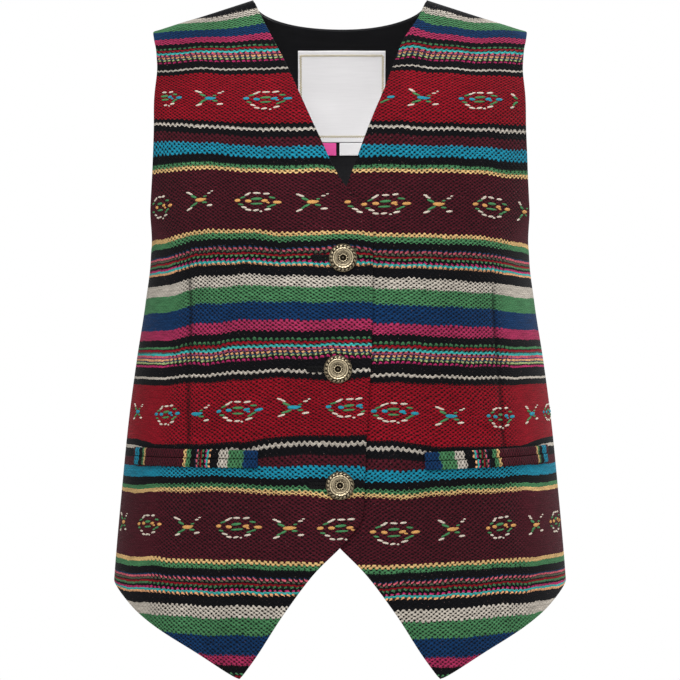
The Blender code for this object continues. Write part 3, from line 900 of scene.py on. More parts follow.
# The two groups of thin lines: yarn, height, and 0 for an unbroken line, 0.5 or 1 for dashes
LINES = {
    "lines_one": [
        ("navy", 0.9, 0.5),
        ("salmon", 1.3, 0.5),
        ("black", 0.3, 0.0),
        ("olive", 1.4, 1.0),
        ("black", 0.7, 0.0),
        ("red", 1.2, 0.0),
        ("green", 1.4, 0.5),
        ("black", 1.4, 0.0),
        ("magenta", 1.4, 0.5),
        ("teal", 1.5, 0.0),
        ("peach", 1.5, 0.5),
    ],
    "lines_two": [
        ("green", 1.6, 0.5),
        ("black", 0.6, 0.0),
        ("red", 1.6, 0.0),
        ("grey", 1.2, 1.0),
        ("teal", 1.6, 0.0),
        ("salmon", 1.6, 0.5),
        ("purple", 1.0, 1.0),
        ("peach", 1.5, 0.5),
        ("navy", 0.9, 0.0),
        ("lime", 1.4, 0.5),
        ("black", 1.0, 0.0),
        ("magenta", 1.5, 0.5),
    ],
}
REPEAT_HEIGHT = sum(height for _, height, _ in REPEAT)
# Thread spacing: a warp dot and its neighbour along the weft, and one pick of the weft. The dots
# lean down towards the side on both fronts, and so do the dashes of the thin lines. The edges of the
# stripes are zigzags of the height that follows the spacing.
WARP_PITCH = 4.07
PICK_PITCH = 1.42
EDGE_ZIGZAG = 0.62
DOT_LEAN = 0.13
DASH_SLANT = 0.3


def ramp_stops(rows, start, whole):
    """Stops of a colour ramp from rows of yarn, height and alpha, from a start within a whole height."""
    stops, place = [], start
    for yarn, height, alpha in rows:
        colour = linear(YARN.get(yarn, YARN["black"]))
        stops.append((place / whole, colour[:3] + (alpha,)))
        place += height
    return stops


def group_start(name):
    """Cloth coordinate where a group of thin lines starts within the repeat."""
    place = 0.0
    for yarn, height, _ in REPEAT:
        if yarn == name:
            return place
        place += height
    return place


def striped_cotton():
    """Handloomed weft-faced cotton, dyed in the yarn: hard-wearing, matte and a little furry.

    Weft floats cover the warp, whose black threads show as staggered dots. Seen from a step away the
    dots are rows of small dark points, and each edge of a stripe is a fine zigzag. The attributes are
    how clearly the weave shows, which way its dots lean, and how near the dart's seam is.
    """
    material, tree, shader = new_material(
        "handloomed_striped_cotton", Roughness=0.92, Specular_IOR_Level=0.08,
        Sheen_Weight=0.015, Sheen_Roughness=0.5)
    place = put(tree, "ShaderNodeUVMap", uv_map="cloth")
    millimetres = put(tree, VECTORS, {0: place, 3: 1000.0}, operation="SCALE")
    loose = put(tree, NOISE, {0: millimetres, 2: 0.07, 3: 1.0}, out=1, noise_dimensions="2D")
    loose = put(tree, VECTORS, {0: loose, 1: (0.5, 0.5, 0.5)}, operation="SUBTRACT")
    loose = put(tree, VECTORS, {0: loose, 1: (2.4, 1.3, 0.0)}, operation="MULTIPLY")
    moved = put(tree, VECTORS, {0: millimetres, 1: loose}, operation="ADD")
    crooked = put(tree, NOISE, {0: millimetres, 2: 0.33, 3: 1.0}, out=1, noise_dimensions="2D")
    crooked = put(tree, VECTORS, {0: crooked, 1: (0.5, 0.5, 0.5)}, operation="SUBTRACT")
    crooked = put(tree, VECTORS, {0: crooked, 1: (1.7, 1.0, 0.0)}, operation="MULTIPLY")
    moved = put(tree, VECTORS, {0: moved, 1: crooked}, operation="ADD")
    split = put(tree, "ShaderNodeSeparateXYZ", [moved]).node
    u, v = split.outputs[0], split.outputs[1]
    weave = put(tree, "ShaderNodeAttribute", attribute_name="weave", out=2)
    lean = put(tree, "ShaderNodeAttribute", attribute_name="lean", out=2)
    dart = put(tree, "ShaderNodeAttribute", attribute_name="dart", out=2)

    # staggered lattice of warp dots: cos a * cos b + lean * sin a * sin b, where a is
    # 2 pi u / pitch and b is pi v / pick
    turn = put(tree, MATH, [u, 2 * math.pi / WARP_PITCH], operation="MULTIPLY")
    wave = put(tree, MATH, [turn], operation="COSINE")
    row_turn = put(tree, MATH, [v, math.pi / PICK_PITCH], operation="MULTIPLY")
    row = put(tree, MATH, [row_turn], operation="COSINE")
    lattice = put(tree, MATH, [wave, row], operation="MULTIPLY")
    side_wave = put(tree, MATH, [turn], operation="SINE")
    side_row = put(tree, MATH, [row_turn], operation="SINE")
    leaning = put(tree, MATH, [side_wave, side_row], operation="MULTIPLY")
    leaning = put(tree, MATH, [leaning, lean], operation="MULTIPLY")
    lattice = put(tree, MATH, [leaning, DOT_LEAN, lattice], operation="MULTIPLY_ADD")

    # the repeat of the stripes, with zigzag edges
    zigzag = put(tree, MATH, [wave, EDGE_ZIGZAG], operation="MULTIPLY")
    zigzag = put(tree, MATH, [zigzag, weave], operation="MULTIPLY")
    v_edge = put(tree, MATH, [v, zigzag], operation="ADD")
    within = put(tree, MATH, [v_edge, REPEAT_HEIGHT], operation="FLOORED_MODULO")
    share = put(tree, MATH, [within, REPEAT_HEIGHT], operation="DIVIDE")
    stripes = put(tree, "ShaderNodeValToRGB", [share]).node
    fill_ramp(stripes.color_ramp, ramp_stops(REPEAT, 0.0, REPEAT_HEIGHT))
    colour, dotted = stripes.outputs[0], stripes.outputs[1]

    # thin lines, broken into dashes by the warp, which slant as its dots lean
    soft_zigzag = put(tree, MATH, [zigzag, 0.55], operation="MULTIPLY")
    v_line = put(tree, MATH, [v, soft_zigzag], operation="ADD")
    line_place = put(tree, MATH, [v_line, REPEAT_HEIGHT], operation="FLOORED_MODULO")
    slanted = put(tree, MATH, [v, lean], operation="MULTIPLY")
    slanted = put(tree, MATH, [slanted, -DASH_SLANT, u], operation="MULTIPLY_ADD")
    slanted = put(tree, MATH, [slanted, 2 * math.pi / WARP_PITCH], operation="MULTIPLY")
    slanted = put(tree, MATH, [slanted], operation="COSINE")
    black = linear(YARN["black"])
    for name, rows in LINES.items():
        start = group_start(name)
        height = sum(row_height for _, row_height, _ in rows)
        inside = put(tree, RANGE, [line_place, start, start + height, 0.0, 1.0], clamp=True)
        ramp = put(tree, "ShaderNodeValToRGB", [inside]).node
        fill_ramp(ramp.color_ramp, ramp_stops(rows, 0.0, height))
        broken = ramp.outputs[1]
        turned = put(tree, RANGE, [broken, 0.6, 0.9, 1.0, -1.0], clamp=True)
        phase = put(tree, MATH, [slanted, turned], operation="MULTIPLY")
        phase = put(tree, MATH, [phase, weave], operation="MULTIPLY")
        gap = put(tree, RANGE, [phase, 0.0, 0.35, 0.0, 0.95], clamp=True)
        is_broken = put(tree, MATH, [broken, 0.25], operation="GREATER_THAN")
        gap = put(tree, MATH, [gap, is_broken], operation="MULTIPLY")
        lines = put(tree, MIX, {0: gap, 6: ramp.outputs[0], 7: black}, out=2, data_type="RGBA")
        after = put(tree, MATH, [line_place, start], operation="GREATER_THAN")
        before = put(tree, MATH, [line_place, start + height], operation="LESS_THAN")
        here = put(tree, MATH, [after, before], operation="MULTIPLY")
        colour = put(tree, MIX, {0: here, 6: colour, 7: lines}, out=2, data_type="RGBA")

    # uneven dye and yarn: streaks along the weft and a few pale flecks, with painted shade that lightens
    # the tops of the weft floats and darkens the dips between them
    stretched = put(tree, VECTORS, {0: moved, 1: (0.09, 0.75, 1.0)}, operation="MULTIPLY")
    streak = put(tree, NOISE, {0: stretched, 2: 1.0, 3: 3.0}, noise_dimensions="2D")
    cloud = put(tree, NOISE, {0: millimetres, 2: 0.022, 3: 2.0}, noise_dimensions="2D")
    tone = put(tree, RANGE, [streak, 0.25, 0.75, 0.74, 1.26], clamp=True)
    cloud_tone = put(tree, RANGE, [cloud, 0.3, 0.7, 0.9, 1.1], clamp=True)
    # painted shade of the weave relief: float tops lighter, dips between floats darker, flattened to one
    # tone where the weave shows little
    float_painted_shade = put(tree, RANGE, [lattice, -1.0, 0.6, 1.34, 0.6], clamp=True)
    float_painted_shade = put(tree, MIX, {0: weave, 2: 0.96, 3: float_painted_shade}, data_type="FLOAT")
    tone = put(tree, MATH, [tone, cloud_tone], operation="MULTIPLY")
    tone = put(tree, MATH, [tone, float_painted_shade], operation="MULTIPLY")
    toned = put(tree, VECTORS, {0: colour, 3: tone}, operation="SCALE")
    fine = put(tree, NOISE, {0: millimetres, 2: 0.85, 3: 2.0}, noise_dimensions="2D")
    fleck = put(tree, RANGE, [fine, 0.74, 0.8, 0.0, 0.32], clamp=True)
    toned = put(tree, MIX, {0: fleck, 6: toned, 7: linear("#9a7874")}, out=2, data_type="RGBA")

    # black warp dots, and the shadow in the dart's seam
    dot = put(tree, RANGE, [lattice, 0.14, 0.62, 0.0, 1.0], interpolation_type="SMOOTHSTEP")
    dot = put(tree, MATH, [dot, dotted], operation="MULTIPLY")
    dot = put(tree, MATH, [dot, weave], operation="MULTIPLY")
    base = put(tree, MIX, {0: dot, 6: toned, 7: linear("#050507")}, out=2, data_type="RGBA")
    seam = put(tree, MATH, [dart, 0.75], operation="MULTIPLY")
    base = put(tree, MIX, {0: seam, 6: base, 7: linear("#050507")}, out=2, data_type="RGBA")
    tree.links.new(base, shader.inputs["Base Color"])

    # relief: weft floats stand 0.4 mm over the warp, and fibres are finer
    rise = put(tree, RANGE, [lattice, -1.0, 1.0, 1.0, 0.0], clamp=True)
    flat_rise = put(tree, MIX, {0: weave, 2: 0.5, 3: rise}, data_type="FLOAT")
    pick = put(tree, MATH, [row_turn, 2.0], operation="MULTIPLY")
    pick = put(tree, MATH, [pick], operation="COSINE")
    ribs = put(tree, RANGE, [pick, -1.0, 1.0, 0.0, 0.25], clamp=True)
    fuzz = put(tree, NOISE, {0: millimetres, 2: 2.2, 3: 3.0}, noise_dimensions="2D")
    relief = put(tree, MATH, [flat_rise, ribs], operation="ADD")
    relief = put(tree, MATH, [fuzz, 0.35, relief], operation="MULTIPLY_ADD")
    bump = put(tree, BUMP, {"Strength": 0.9, "Distance": 0.0004, "Height": relief})
    tree.links.new(bump, shader.inputs["Normal"])
    return material


def fine_cloth(name, colour, roughness, thread, sheen, depth_mm, streaks=0.2):
    """Fine woven cloth on Object coordinates: crossing threads at a real spacing, and faint unevenness.

    thread is the spacing in millimetres, coarser than the real cloth's so that it shows at all, and
    streaks is how much lighter and darker the uneven threads are, and how strongly the painted shade
    of the weave lightens the raised threads and darkens the dips between them.
    """
    material, tree, shader = new_material(
        name, Roughness=roughness, Specular_IOR_Level=0.16, Sheen_Weight=sheen, Sheen_Roughness=0.5)
    place = put(tree, "ShaderNodeTexCoord", out=3)
    millimetres = put(tree, VECTORS, {0: place, 3: 1000.0}, operation="SCALE")
    split = put(tree, "ShaderNodeSeparateXYZ", [millimetres]).node
    waves = []
    for axis in (0, 2):
        turn = put(tree, MATH, [split.outputs[axis], 2 * math.pi / thread], operation="MULTIPLY")
        waves.append(put(tree, MATH, [turn], operation="SINE"))
    woven = put(tree, MATH, waves, operation="MULTIPLY")
    stretched = put(tree, VECTORS, {0: millimetres, 1: (0.05, 0.05, 0.9)}, operation="MULTIPLY")
    slub = put(tree, NOISE, {0: stretched, 2: 1.0, 3: 3.0})
    cloud = put(tree, NOISE, {0: millimetres, 2: 0.02, 3: 3.0})
    tone = put(tree, RANGE, [slub, 0.3, 0.7, 1 - streaks, 1 + streaks], clamp=True)
    wide_tone = put(tree, RANGE, [cloud, 0.3, 0.7, 1 - streaks, 1 + streaks], clamp=True)
    tone = put(tree, MATH, [tone, wide_tone], operation="MULTIPLY")
    # painted shade of the weave: raised threads lighter, the dips between them darker
    thread_painted_shade = put(tree, RANGE, [woven, -1.0, 1.0, 1 - streaks, 1 + streaks], clamp=True)
    tone = put(tree, MATH, [tone, thread_painted_shade], operation="MULTIPLY")
    toned = put(tree, VECTORS, {0: linear(colour)[:3], 3: tone}, operation="SCALE")
    tree.links.new(toned, shader.inputs["Base Color"])
    relief = put(tree, MATH, [slub, 0.5, woven], operation="MULTIPLY_ADD")
    bump = put(tree, BUMP, {"Strength": 0.7, "Distance": depth_mm * MM, "Height": relief})
    tree.links.new(bump, shader.inputs["Normal"])
    return material


def thread_finish(name, colour, roughness, shine=0.3):
    """Twisted thread on Object coordinates: fine slanting lines of twist with painted shade in their
    grooves, and a little unevenness.

    shine is how much the surface of the fibres glints.
    """
    material, tree, shader = new_material(
        name, Roughness=roughness, Specular_IOR_Level=shine, Sheen_Weight=shine / 4)
    place = put(tree, "ShaderNodeTexCoord", out=3)
    millimetres = put(tree, VECTORS, {0: place, 3: 1000.0}, operation="SCALE")
    twist = put(tree, "ShaderNodeTexWave", {0: millimetres, 1: 1.1, 2: 1.2, 3: 2.0}, out=1,
                wave_type="BANDS", bands_direction="DIAGONAL")
    cloud = put(tree, NOISE, {0: millimetres, 2: 0.35, 3: 2.0})
    # painted shade of the twist: grooves darker, ridges lighter
    tone = put(tree, RANGE, [twist, 0.0, 1.0, 0.8, 1.1], clamp=True)
    wide_tone = put(tree, RANGE, [cloud, 0.3, 0.7, 0.84, 1.14], clamp=True)
    tone = put(tree, MATH, [tone, wide_tone], operation="MULTIPLY")
    toned = put(tree, VECTORS, {0: linear(colour)[:3], 3: tone}, operation="SCALE")
    tree.links.new(toned, shader.inputs["Base Color"])
    bump = put(tree, BUMP, {"Strength": 0.6, "Distance": 0.00015, "Height": twist})
    tree.links.new(bump, shader.inputs["Normal"])
    return material


def antique_brass():
    """Stamped brass, plated and antiqued: bright pale gold where it is rubbed, brown in the hollows."""
    material, tree, shader = new_material("antiqued_stamped_brass", Metallic=1.0)
    hollow = put(tree, "ShaderNodeAttribute", attribute_name="hollow", out=2)
    place = put(tree, "ShaderNodeTexCoord", out=3)
    millimetres = put(tree, VECTORS, {0: place, 3: 1000.0}, operation="SCALE")
    stain = put(tree, NOISE, {0: millimetres, 2: 0.7, 3: 4.0})
    dirt = put(tree, MATH, [stain, 0.7, hollow], operation="MULTIPLY_ADD")
    dirt = put(tree, RANGE, [dirt, 0.45, 1.15, 0.0, 1.0], clamp=True)
    colour = put(tree, MIX, {0: dirt, 6: linear("#bfb092"), 7: linear("#1d1712")}, out=2, data_type="RGBA")
    tree.links.new(colour, shader.inputs["Base Color"])
    rough = put(tree, RANGE, [dirt, 0.0, 1.0, 0.26, 0.62], clamp=True)
    tree.links.new(rough, shader.inputs["Roughness"])
    scratch = put(tree, NOISE, {0: millimetres, 2: 3.5, 3: 4.0})
    bump = put(tree, BUMP, {"Strength": 0.25, "Distance": 0.00008, "Height": scratch})
    tree.links.new(bump, shader.inputs["Normal"])
    return material


STRIPED = striped_cotton()
# Black polyester lining: smooth, with a soft shine, threads drawn four times as coarse as they are
LINING = fine_cloth("black_polyester_lining", "#101013", 0.5, 0.9, 0.02, 0.04)
# Black cotton of the back: closely woven and matte, threads drawn twice as coarse as they are
BACK_COTTON = fine_cloth("black_cotton_poplin", "#121215", 0.72, 1.0, 0.04, 0.08)
# Woven satin ribbon of the label and tabs: shiny weft, ribs drawn twice as coarse as they are
LABEL_SATIN = fine_cloth("white_satin_ribbon", "#f1eff0", 0.42, 0.7, 0.03, 0.03, 0.02)
PINK_SATIN = fine_cloth("pink_satin_ribbon", "#f05ba6", 0.42, 0.7, 0.03, 0.03, 0.03)
BLACK_THREAD = thread_finish("black_polyester_thread", "#08080a", 0.7, 0.1)
GOLD_THREAD = thread_finish("beige_polyester_thread", "#c3b48c", 0.5)
CREAM_YARN = thread_finish("cream_cotton_yarn", "#bcb1a3", 0.85, 0.12)
GREEN_YARN = thread_finish("green_cotton_yarn", "#3d7549", 0.85, 0.12)
TEAL_YARN = thread_finish("teal_cotton_yarn", "#1f7f92", 0.85, 0.12)
ORANGE_YARN = thread_finish("orange_cotton_yarn", "#bb8a50", 0.85, 0.12)
BRASS = antique_brass()


# Cloth panels


def rounding_of(shape, seams):
    """Rounding of each border point of a panel: more at a free edge than along a seam."""
    rounding = np.full(shape, FREE_EDGE_ROUND)
    for part in seams:
        rounding[part] = SEAM_EDGE_ROUND
    return rounding


def front_piece(name, node, edge):
    """One front: striped outside with its edges turned in, and the black lining inside."""
    side = -1 if edge == OVER else 1
    angle, height = front_grid(edge)
    angle = side * angle
    outer = front_layer(angle, height, edge, 0.0)
    inner = front_layer(angle, height, edge, -FRONT_WALL)
    along = arc_length(angle, height)
    down = stripe_place(angle, height, edge)
    x = half_width(height) * np.sin(angle)
    turned = np.degrees(np.abs(angle)) + 12 * eased(-160, -215, height)
    weave = 1 - 0.9 * eased(60, 70, turned)
    marks = {"weave": weave, "dart": dart_line(x, height, edge), "lean": np.full(x.shape, -1.0 * side)}
    rounding = rounding_of(height.shape, [np.s_[0, :], np.s_[FRONT_GRID["arm"]:, -1]])
    cloth_place = np.stack([along, down], axis=-1)
    bends = ((), (FRONT_GRID["tip"],), (), (FRONT_GRID["arm"],))
    piece = wall(name, outer, inner, rounding, [STRIPED, LINING], cloth_place, marks, bends)
    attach(piece, "root")
    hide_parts(node)


def back_piece(name, node, out, thickness, material, extra):
    """The back or its lining, a layer of cloth that starts some way out from the body."""
    angle, height = back_grid()
    outer = cloth_layer(angle, height, "back", out, extra)
    inner = cloth_layer(angle, height, "back", out - thickness, extra)
    arm = BACK_GRID["arm"]
    neck_starts = BACK_GRID["shoulder"]
    neck_ends = neck_starts + 2 * BACK_GRID["neck"]
    seams = [
        np.s_[0, :neck_starts],
        np.s_[0, neck_ends + 1:],
        np.s_[arm:, 0],
        np.s_[arm:, -1],
    ]
    rounding = np.minimum(rounding_of(height.shape, seams), thickness / 2)
    bends = ((neck_starts, neck_ends), (), (arm,), (arm,))
    piece = wall(name, outer, inner, rounding, [material], bends=bends)
    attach(piece, "root")
    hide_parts(node)


front_piece("front_right_cloth", "front_right", OVER)
front_piece("front_left_cloth", "front_left", UNDER)
back_piece("back_cloth", "back", 0.0, BACK_WALL, BACK_COTTON, ())
back_piece(
    "back_lining_cloth", "back_lining", -BACK_WALL - SEAM_GAP, LINING_WALL, LINING,
    LINING_CREASES)


# Woven figures


BAND_MIDDLES = {"upper_red": 99.3, "upper_maroon": 177.4, "lower_red": 328.6, "lower_maroon": 408.6}
# Figures along each band: band, front, kind, distance round the cloth from the middle
FIGURES = [
    ("upper_red", OVER, "eye", -132.1),
    ("upper_red", OVER, "cross", -95.7),
    ("upper_red", OVER, "eye", -53.1),
    ("upper_red", UNDER, "eye", 20.5),
    ("upper_red", UNDER, "cross", 59.6),
    ("upper_red", UNDER, "eye", 102.8),
    ("upper_red", UNDER, "cross", 136.7),
    ("upper_maroon", OVER, "eye", -144.0),
    ("upper_maroon", OVER, "cross", -104.8),
    ("upper_maroon", OVER, "eye", -59.5),
    ("upper_maroon", OVER, "cross", -19.8),
    ("upper_maroon", OVER, "eye", 19.8),
    ("upper_maroon", UNDER, "eye", 31.9),
    ("upper_maroon", UNDER, "cross", 70.7),
    ("upper_maroon", UNDER, "eye", 114.5),
    ("upper_maroon", UNDER, "cross", 150.6),
    ("lower_red", OVER, "cross", -171.3),
    ("lower_red", OVER, "eye", -134.4),
    ("lower_red", OVER, "half_cross", -106.8),
    ("lower_red", OVER, "eye", -73.3),
    ("lower_red", OVER, "cross", -32.4),
    ("lower_red", OVER, "eye", 6.3),
    ("lower_red", UNDER, "eye", 37.9),
    ("lower_red", UNDER, "cross", 79.4),
    ("lower_red", UNDER, "eye", 121.6),
    ("lower_red", UNDER, "cross", 155.0),
    ("lower_red", UNDER, "eye", 184.7),
    ("lower_maroon", OVER, "cross", -189.3),
    ("lower_maroon", OVER, "eye", -151.6),
    ("lower_maroon", OVER, "cross", -114.6),
    ("lower_maroon", OVER, "eye", -73.7),
    ("lower_maroon", OVER, "cross", -35.8),
    ("lower_maroon", OVER, "eye", 0.7),
    ("lower_maroon", UNDER, "eye", 37.7),
    ("lower_maroon", UNDER, "cross", 80.9),
    ("lower_maroon", UNDER, "eye", 120.9),
    ("lower_maroon", UNDER, "cross", 155.7),
    ("lower_maroon", UNDER, "eye", 186.8),
]
# Yarns of the floats, as places in their piece's list of materials. The middle of a figure is teal in
# the red bands and orange in the maroon bands.
CREAM, GREEN, CENTRE, TEAL, ORANGE = 0, 1, -1, 2, 3
# Weft floats of a figure: yarn, distance across and up from its middle, length, height, and slant
FLOATS = {
    "eye": [
        (CREAM, -7.4, 5.4, 4.6, 1.6, 0.35),
        (CREAM, -5.6, 6.6, 3.4, 1.4, 0.3),
        (CREAM, 0.2, 6.9, 6.0, 1.6, 0.0),
        (CREAM, 7.2, 7.0, 5.4, 1.7, 0.1),
        (GREEN, -10.6, 3.4, 4.8, 1.5, 0.3),
        (GREEN, 11.8, 4.0, 5.4, 1.6, -0.1),
        (GREEN, 0.0, 2.3, 8.6, 2.1, 0.08),
        (GREEN, 0.0, -2.0, 9.4, 1.6, 0.05),
        (CENTRE, -14.4, 0.4, 4.6, 2.6, 0.1),
        (CENTRE, -6.2, 0.4, 5.0, 2.6, -0.05),
        (CENTRE, 6.4, 1.0, 5.2, 2.4, 0.15),
        (CENTRE, 8.2, -0.5, 3.0, 1.5, -0.1),
        (CENTRE, 15.8, 0.3, 6.4, 2.5, 0.05),
        (GREEN, -12.4, -2.9, 4.4, 1.5, -0.1),
        (GREEN, 12.4, -2.4, 5.0, 1.5, 0.3),
        (GREEN, 9.6, -3.8, 4.0, 1.4, 0.25),
        (CREAM, -9.4, -5.2, 4.6, 1.6, -0.2),
        (CREAM, -6.2, -7.4, 4.8, 1.7, -0.15),
        (CREAM, -0.6, -7.6, 4.8, 1.6, 0.15),
        (CREAM, 3.4, -8.1, 2.2, 1.4, 0.0),
        (CREAM, 8.2, -6.2, 5.6, 1.7, 0.2),
    ],
    "cross": [
        (CREAM, -9.4, 6.4, 4.0, 1.6, -0.25),
        (CREAM, -7.2, 5.2, 4.4, 1.5, -0.3),
        (GREEN, -5.0, 2.7, 5.8, 2.0, -0.35),
        (CENTRE, 0.2, 0.0, 8.4, 3.1, 0.0),
        (CENTRE, 3.2, 0.3, 4.8, 1.8, 0.1),
        (GREEN, -3.8, -2.9, 5.6, 1.8, 0.4),
        (GREEN, -6.6, -4.4, 3.4, 1.5, 0.4),
        (CREAM, -8.6, -6.4, 5.4, 1.7, 0.3),
        (GREEN, 4.6, 2.6, 3.2, 1.3, 0.15),
        (CREAM, 8.2, 5.0, 3.4, 1.3, 0.1),
        (CREAM, 10.6, 6.6, 2.2, 1.1, 0.1),
        (GREEN, 4.4, -2.4, 4.6, 1.6, -0.05),
        (CREAM, 8.6, -5.0, 5.2, 1.7, 0.1),
    ],
}
FLOATS["half_cross"] = [row for row in FLOATS["cross"] if row[1] > -1.0]
# Beyond the darts the cloth is turned away and drawn in, so the figures there are narrower
NARROW_FROM = 118.0
NARROWING = 0.74
FLOAT_FULLNESS = 0.9
FLOAT_HEIGHT = 0.55
FLOAT_LIFT = 0.05
# Least distance of a float's end from the front edge and from the side of its front
EDGE_ROOM = 0.8
SIDE_ROOM = 3.5


def figures(name, edge):
    """The raised weft floats of the woven figures of one front, each a short rounded bundle of yarn.

    Each float is found on the front by its cloth coordinates, a small chance step from its place, and
    lies along weft + slant * warp there. Floats too near the front edge or the side are left out.
    """
    rng = np.random.default_rng(7 + edge)
    rows, kinds = [], []
    for band, front, kind, along in FIGURES:
        if front != edge:
            continue
        centre = TEAL if band.endswith("red") else ORANGE
        for yarn, dx, dy, length, height, slant in FLOATS[kind]:
            squeeze = NARROWING if abs(along) > NARROW_FROM else 1.0
            jitter = rng.normal(0.0, 0.28, 2)
            rows.append((along + dx * squeeze + jitter[0], BAND_MIDDLES[band] - dy + 0.6 * jitter[1],
                         length * squeeze * rng.uniform(0.9, 1.1), height, slant))
            kinds.append(centre if yarn == CENTRE else yarn)
    u, v, length, thick, slant = np.array(rows).T
    kinds = np.array(kinds)
    side = -1 if edge == OVER else 1
    angle, height = find_on_front(u, v, edge)
    own_x = side * half_width(height) * np.sin(angle)
    edge_x = curve(FRONT_EDGE[:, 0], FRONT_EDGE[:, edge], height)
    _, _, side_height, side_angle = side_line("front", 40, 40)
    side_turn = np.interp(-height, -side_height[:, 0], side_angle[:, 0])
    room = (side_turn - np.abs(angle)) * depth(height, "front")
    keep = (own_x - edge_x > EDGE_ROOM + length / 2) & (room > SIDE_ROOM + length / 2)
    u, v, length, thick, slant, kinds = (row[keep] for row in (u, v, length, thick, slant, kinds))
    spots = []
    for step_u, step_v in ((0, 0), (0.5, 0), (0, -0.5)):
        angle, height = find_on_front(u + step_u, v + step_v, edge)
        spots.append(front_layer(angle, height, edge, FLOAT_LIFT))
    weft, warp = unit(spots[1] - spots[0]), unit(spots[2] - spots[0])
    out = unit(np.cross(weft, warp))
    along = unit(weft + warp * slant[:, None])
    across = np.cross(out, along)
    rings = thread_rings(
        spots[0], along * length[:, None] / 2, across * thick[:, None] * FLOAT_FULLNESS / 2,
        out * FLOAT_HEIGHT, 8, 7, 2.4)
    piece = closed_tubes(name, rings, [CREAM_YARN, GREEN_YARN, TEAL_YARN, ORANGE_YARN], kinds)
    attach(piece, "root")


figures("woven_figures_right", OVER)
figures("woven_figures_left", UNDER)


# Pocket welts


def welt(name, node, edge, ends, middle_heights, direction, shift):
    """A folded strip of cloth turned a quarter, so that its stripes stand upright.

    Its section is a rounded oblong: across by |cos|^0.55 and out by |sin|^0.8, swept along the mouth,
    lower at both ends and a little uneven between. direction is 1 above the mouth and -1 below it, and
    shift moves the stripes along it.
    """
    steps, sides = 96, 20
    share = np.linspace(0, 1, steps)
    widths = half_width(np.array(middle_heights))
    turn = np.linspace(math.asin(ends[0] / widths[0]), math.asin(ends[1] / widths[1]), steps)
    middle = np.linspace(middle_heights[0], middle_heights[1], steps)
    t = np.arange(sides) * 2 * math.pi / sides
    across = np.sign(np.cos(t)) * np.abs(np.cos(t)) ** 0.55
    out = np.sign(np.sin(t)) * np.abs(np.sin(t)) ** 0.8
    ends_round = np.clip(np.minimum(share, 1 - share) * 60, 0, 1) ** 0.5 * 0.35 + 0.65
    low, high = SEAM_GAP / 2, WELT_HEIGHT
    half = (high - low) / 2
    height = middle[:, None] + direction * ((low + high) / 2 + half * across[None, :])
    lift = LAYER_GAP + WELT_WALL / 2 * (1 + out[None, :] * ends_round[:, None])
    puff = 0.18 * np.sin(share * 41.0)[:, None] * (out[None, :] > 0)
    angle = np.repeat(turn[:, None], sides, axis=1)
    rings = front_layer(angle, height, edge, lift + puff)
    length = abs(arc_length(turn[-1:], middle[-1:])[0] - arc_length(turn[:1], middle[:1])[0])
    down = WELT_CLOTH_START + shift - share * length * WELT_CLOTH_RUN
    girth = direction * (low + half * (1 + across))
    uv = np.stack(np.broadcast_arrays(girth[None, :], down[:, None]), axis=-1).reshape(-1, 2)
    uv = np.concatenate([uv, uv[:1], uv[-1:]])
    marks = {"weave": np.full(len(uv), 0.8)}
    piece = closed_tubes(name, rings[None], [STRIPED], None, uv, marks)
    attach(piece, "root")
    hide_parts(node)


for pocket, edge, inner_end, outer_end, inner_height, outer_height, step in POCKETS:
    for place, direction, shift in (("upper", 1, 0.0), ("lower", -1, step)):
        node = f"welt_{pocket}_{place}"
        heights = (inner_height, outer_height)
        welt(node + "_cloth", node, edge, (inner_end, outer_end), heights, direction, shift)


# Buttons and buttonholes


# Turned outline of a button from its middle out and back under: radius, height, how hollow it is
BUTTON_PROFILE = np.array([
    (0.3, 1.9, 0.6),
    (0.7, 1.8, 0.75),
    (1.2, 1.6, 1.0),
    (1.8, 1.8, 1.0),
    (2.1, 2.9, 0.8),
    (2.4, 3.3, 0.2),
    (2.8, 3.25, 0.35),
    (3.3, 2.85, 0.7),
    (3.7, 2.95, 0.6),
    (4.1, 3.1, 0.5),
    (4.5, 2.95, 0.7),
    (4.9, 3.15, 0.45),
    (5.4, 3.3, 0.35),
    (5.9, 3.1, 0.65),
    (6.3, 3.15, 0.55),
    (6.7, 3.6, 0.05),
    (7.1, 3.65, 0.0),
    (7.35, 3.1, 0.75),
    (7.6, 2.8, 0.78),
    (8.1, 2.85, 0.58),
    (8.7, 2.6, 0.55),
    (9.2, 2.15, 0.62),
    (9.6, 1.7, 0.55),
    (9.8, 1.5, 0.55),
    (9.95, 1.2, 0.5),
    (10.0, 0.9, 0.5),
    (9.8, 0.62, 0.7),
    (9.2, 0.5, 0.9),
    (6.0, 0.45, 0.9),
    (2.2, 0.45, 0.9),
    (1.7, 0.2, 0.9),
    (1.7, -2.2, 0.9),
])
BUTTON_FACE_RINGS = 25
BUTTON_LOBES = 19
PETALS = 12


def seat(x, height):
    """Point and outward direction of the overlapping front where a button sits."""
    angle = np.arcsin(x / half_width(height))
    point = front_layer(np.array([angle]), np.array([height]), OVER, 0.0)[0]
    return point, body_normal(np.array([angle]), np.array([height]), "front")[0]


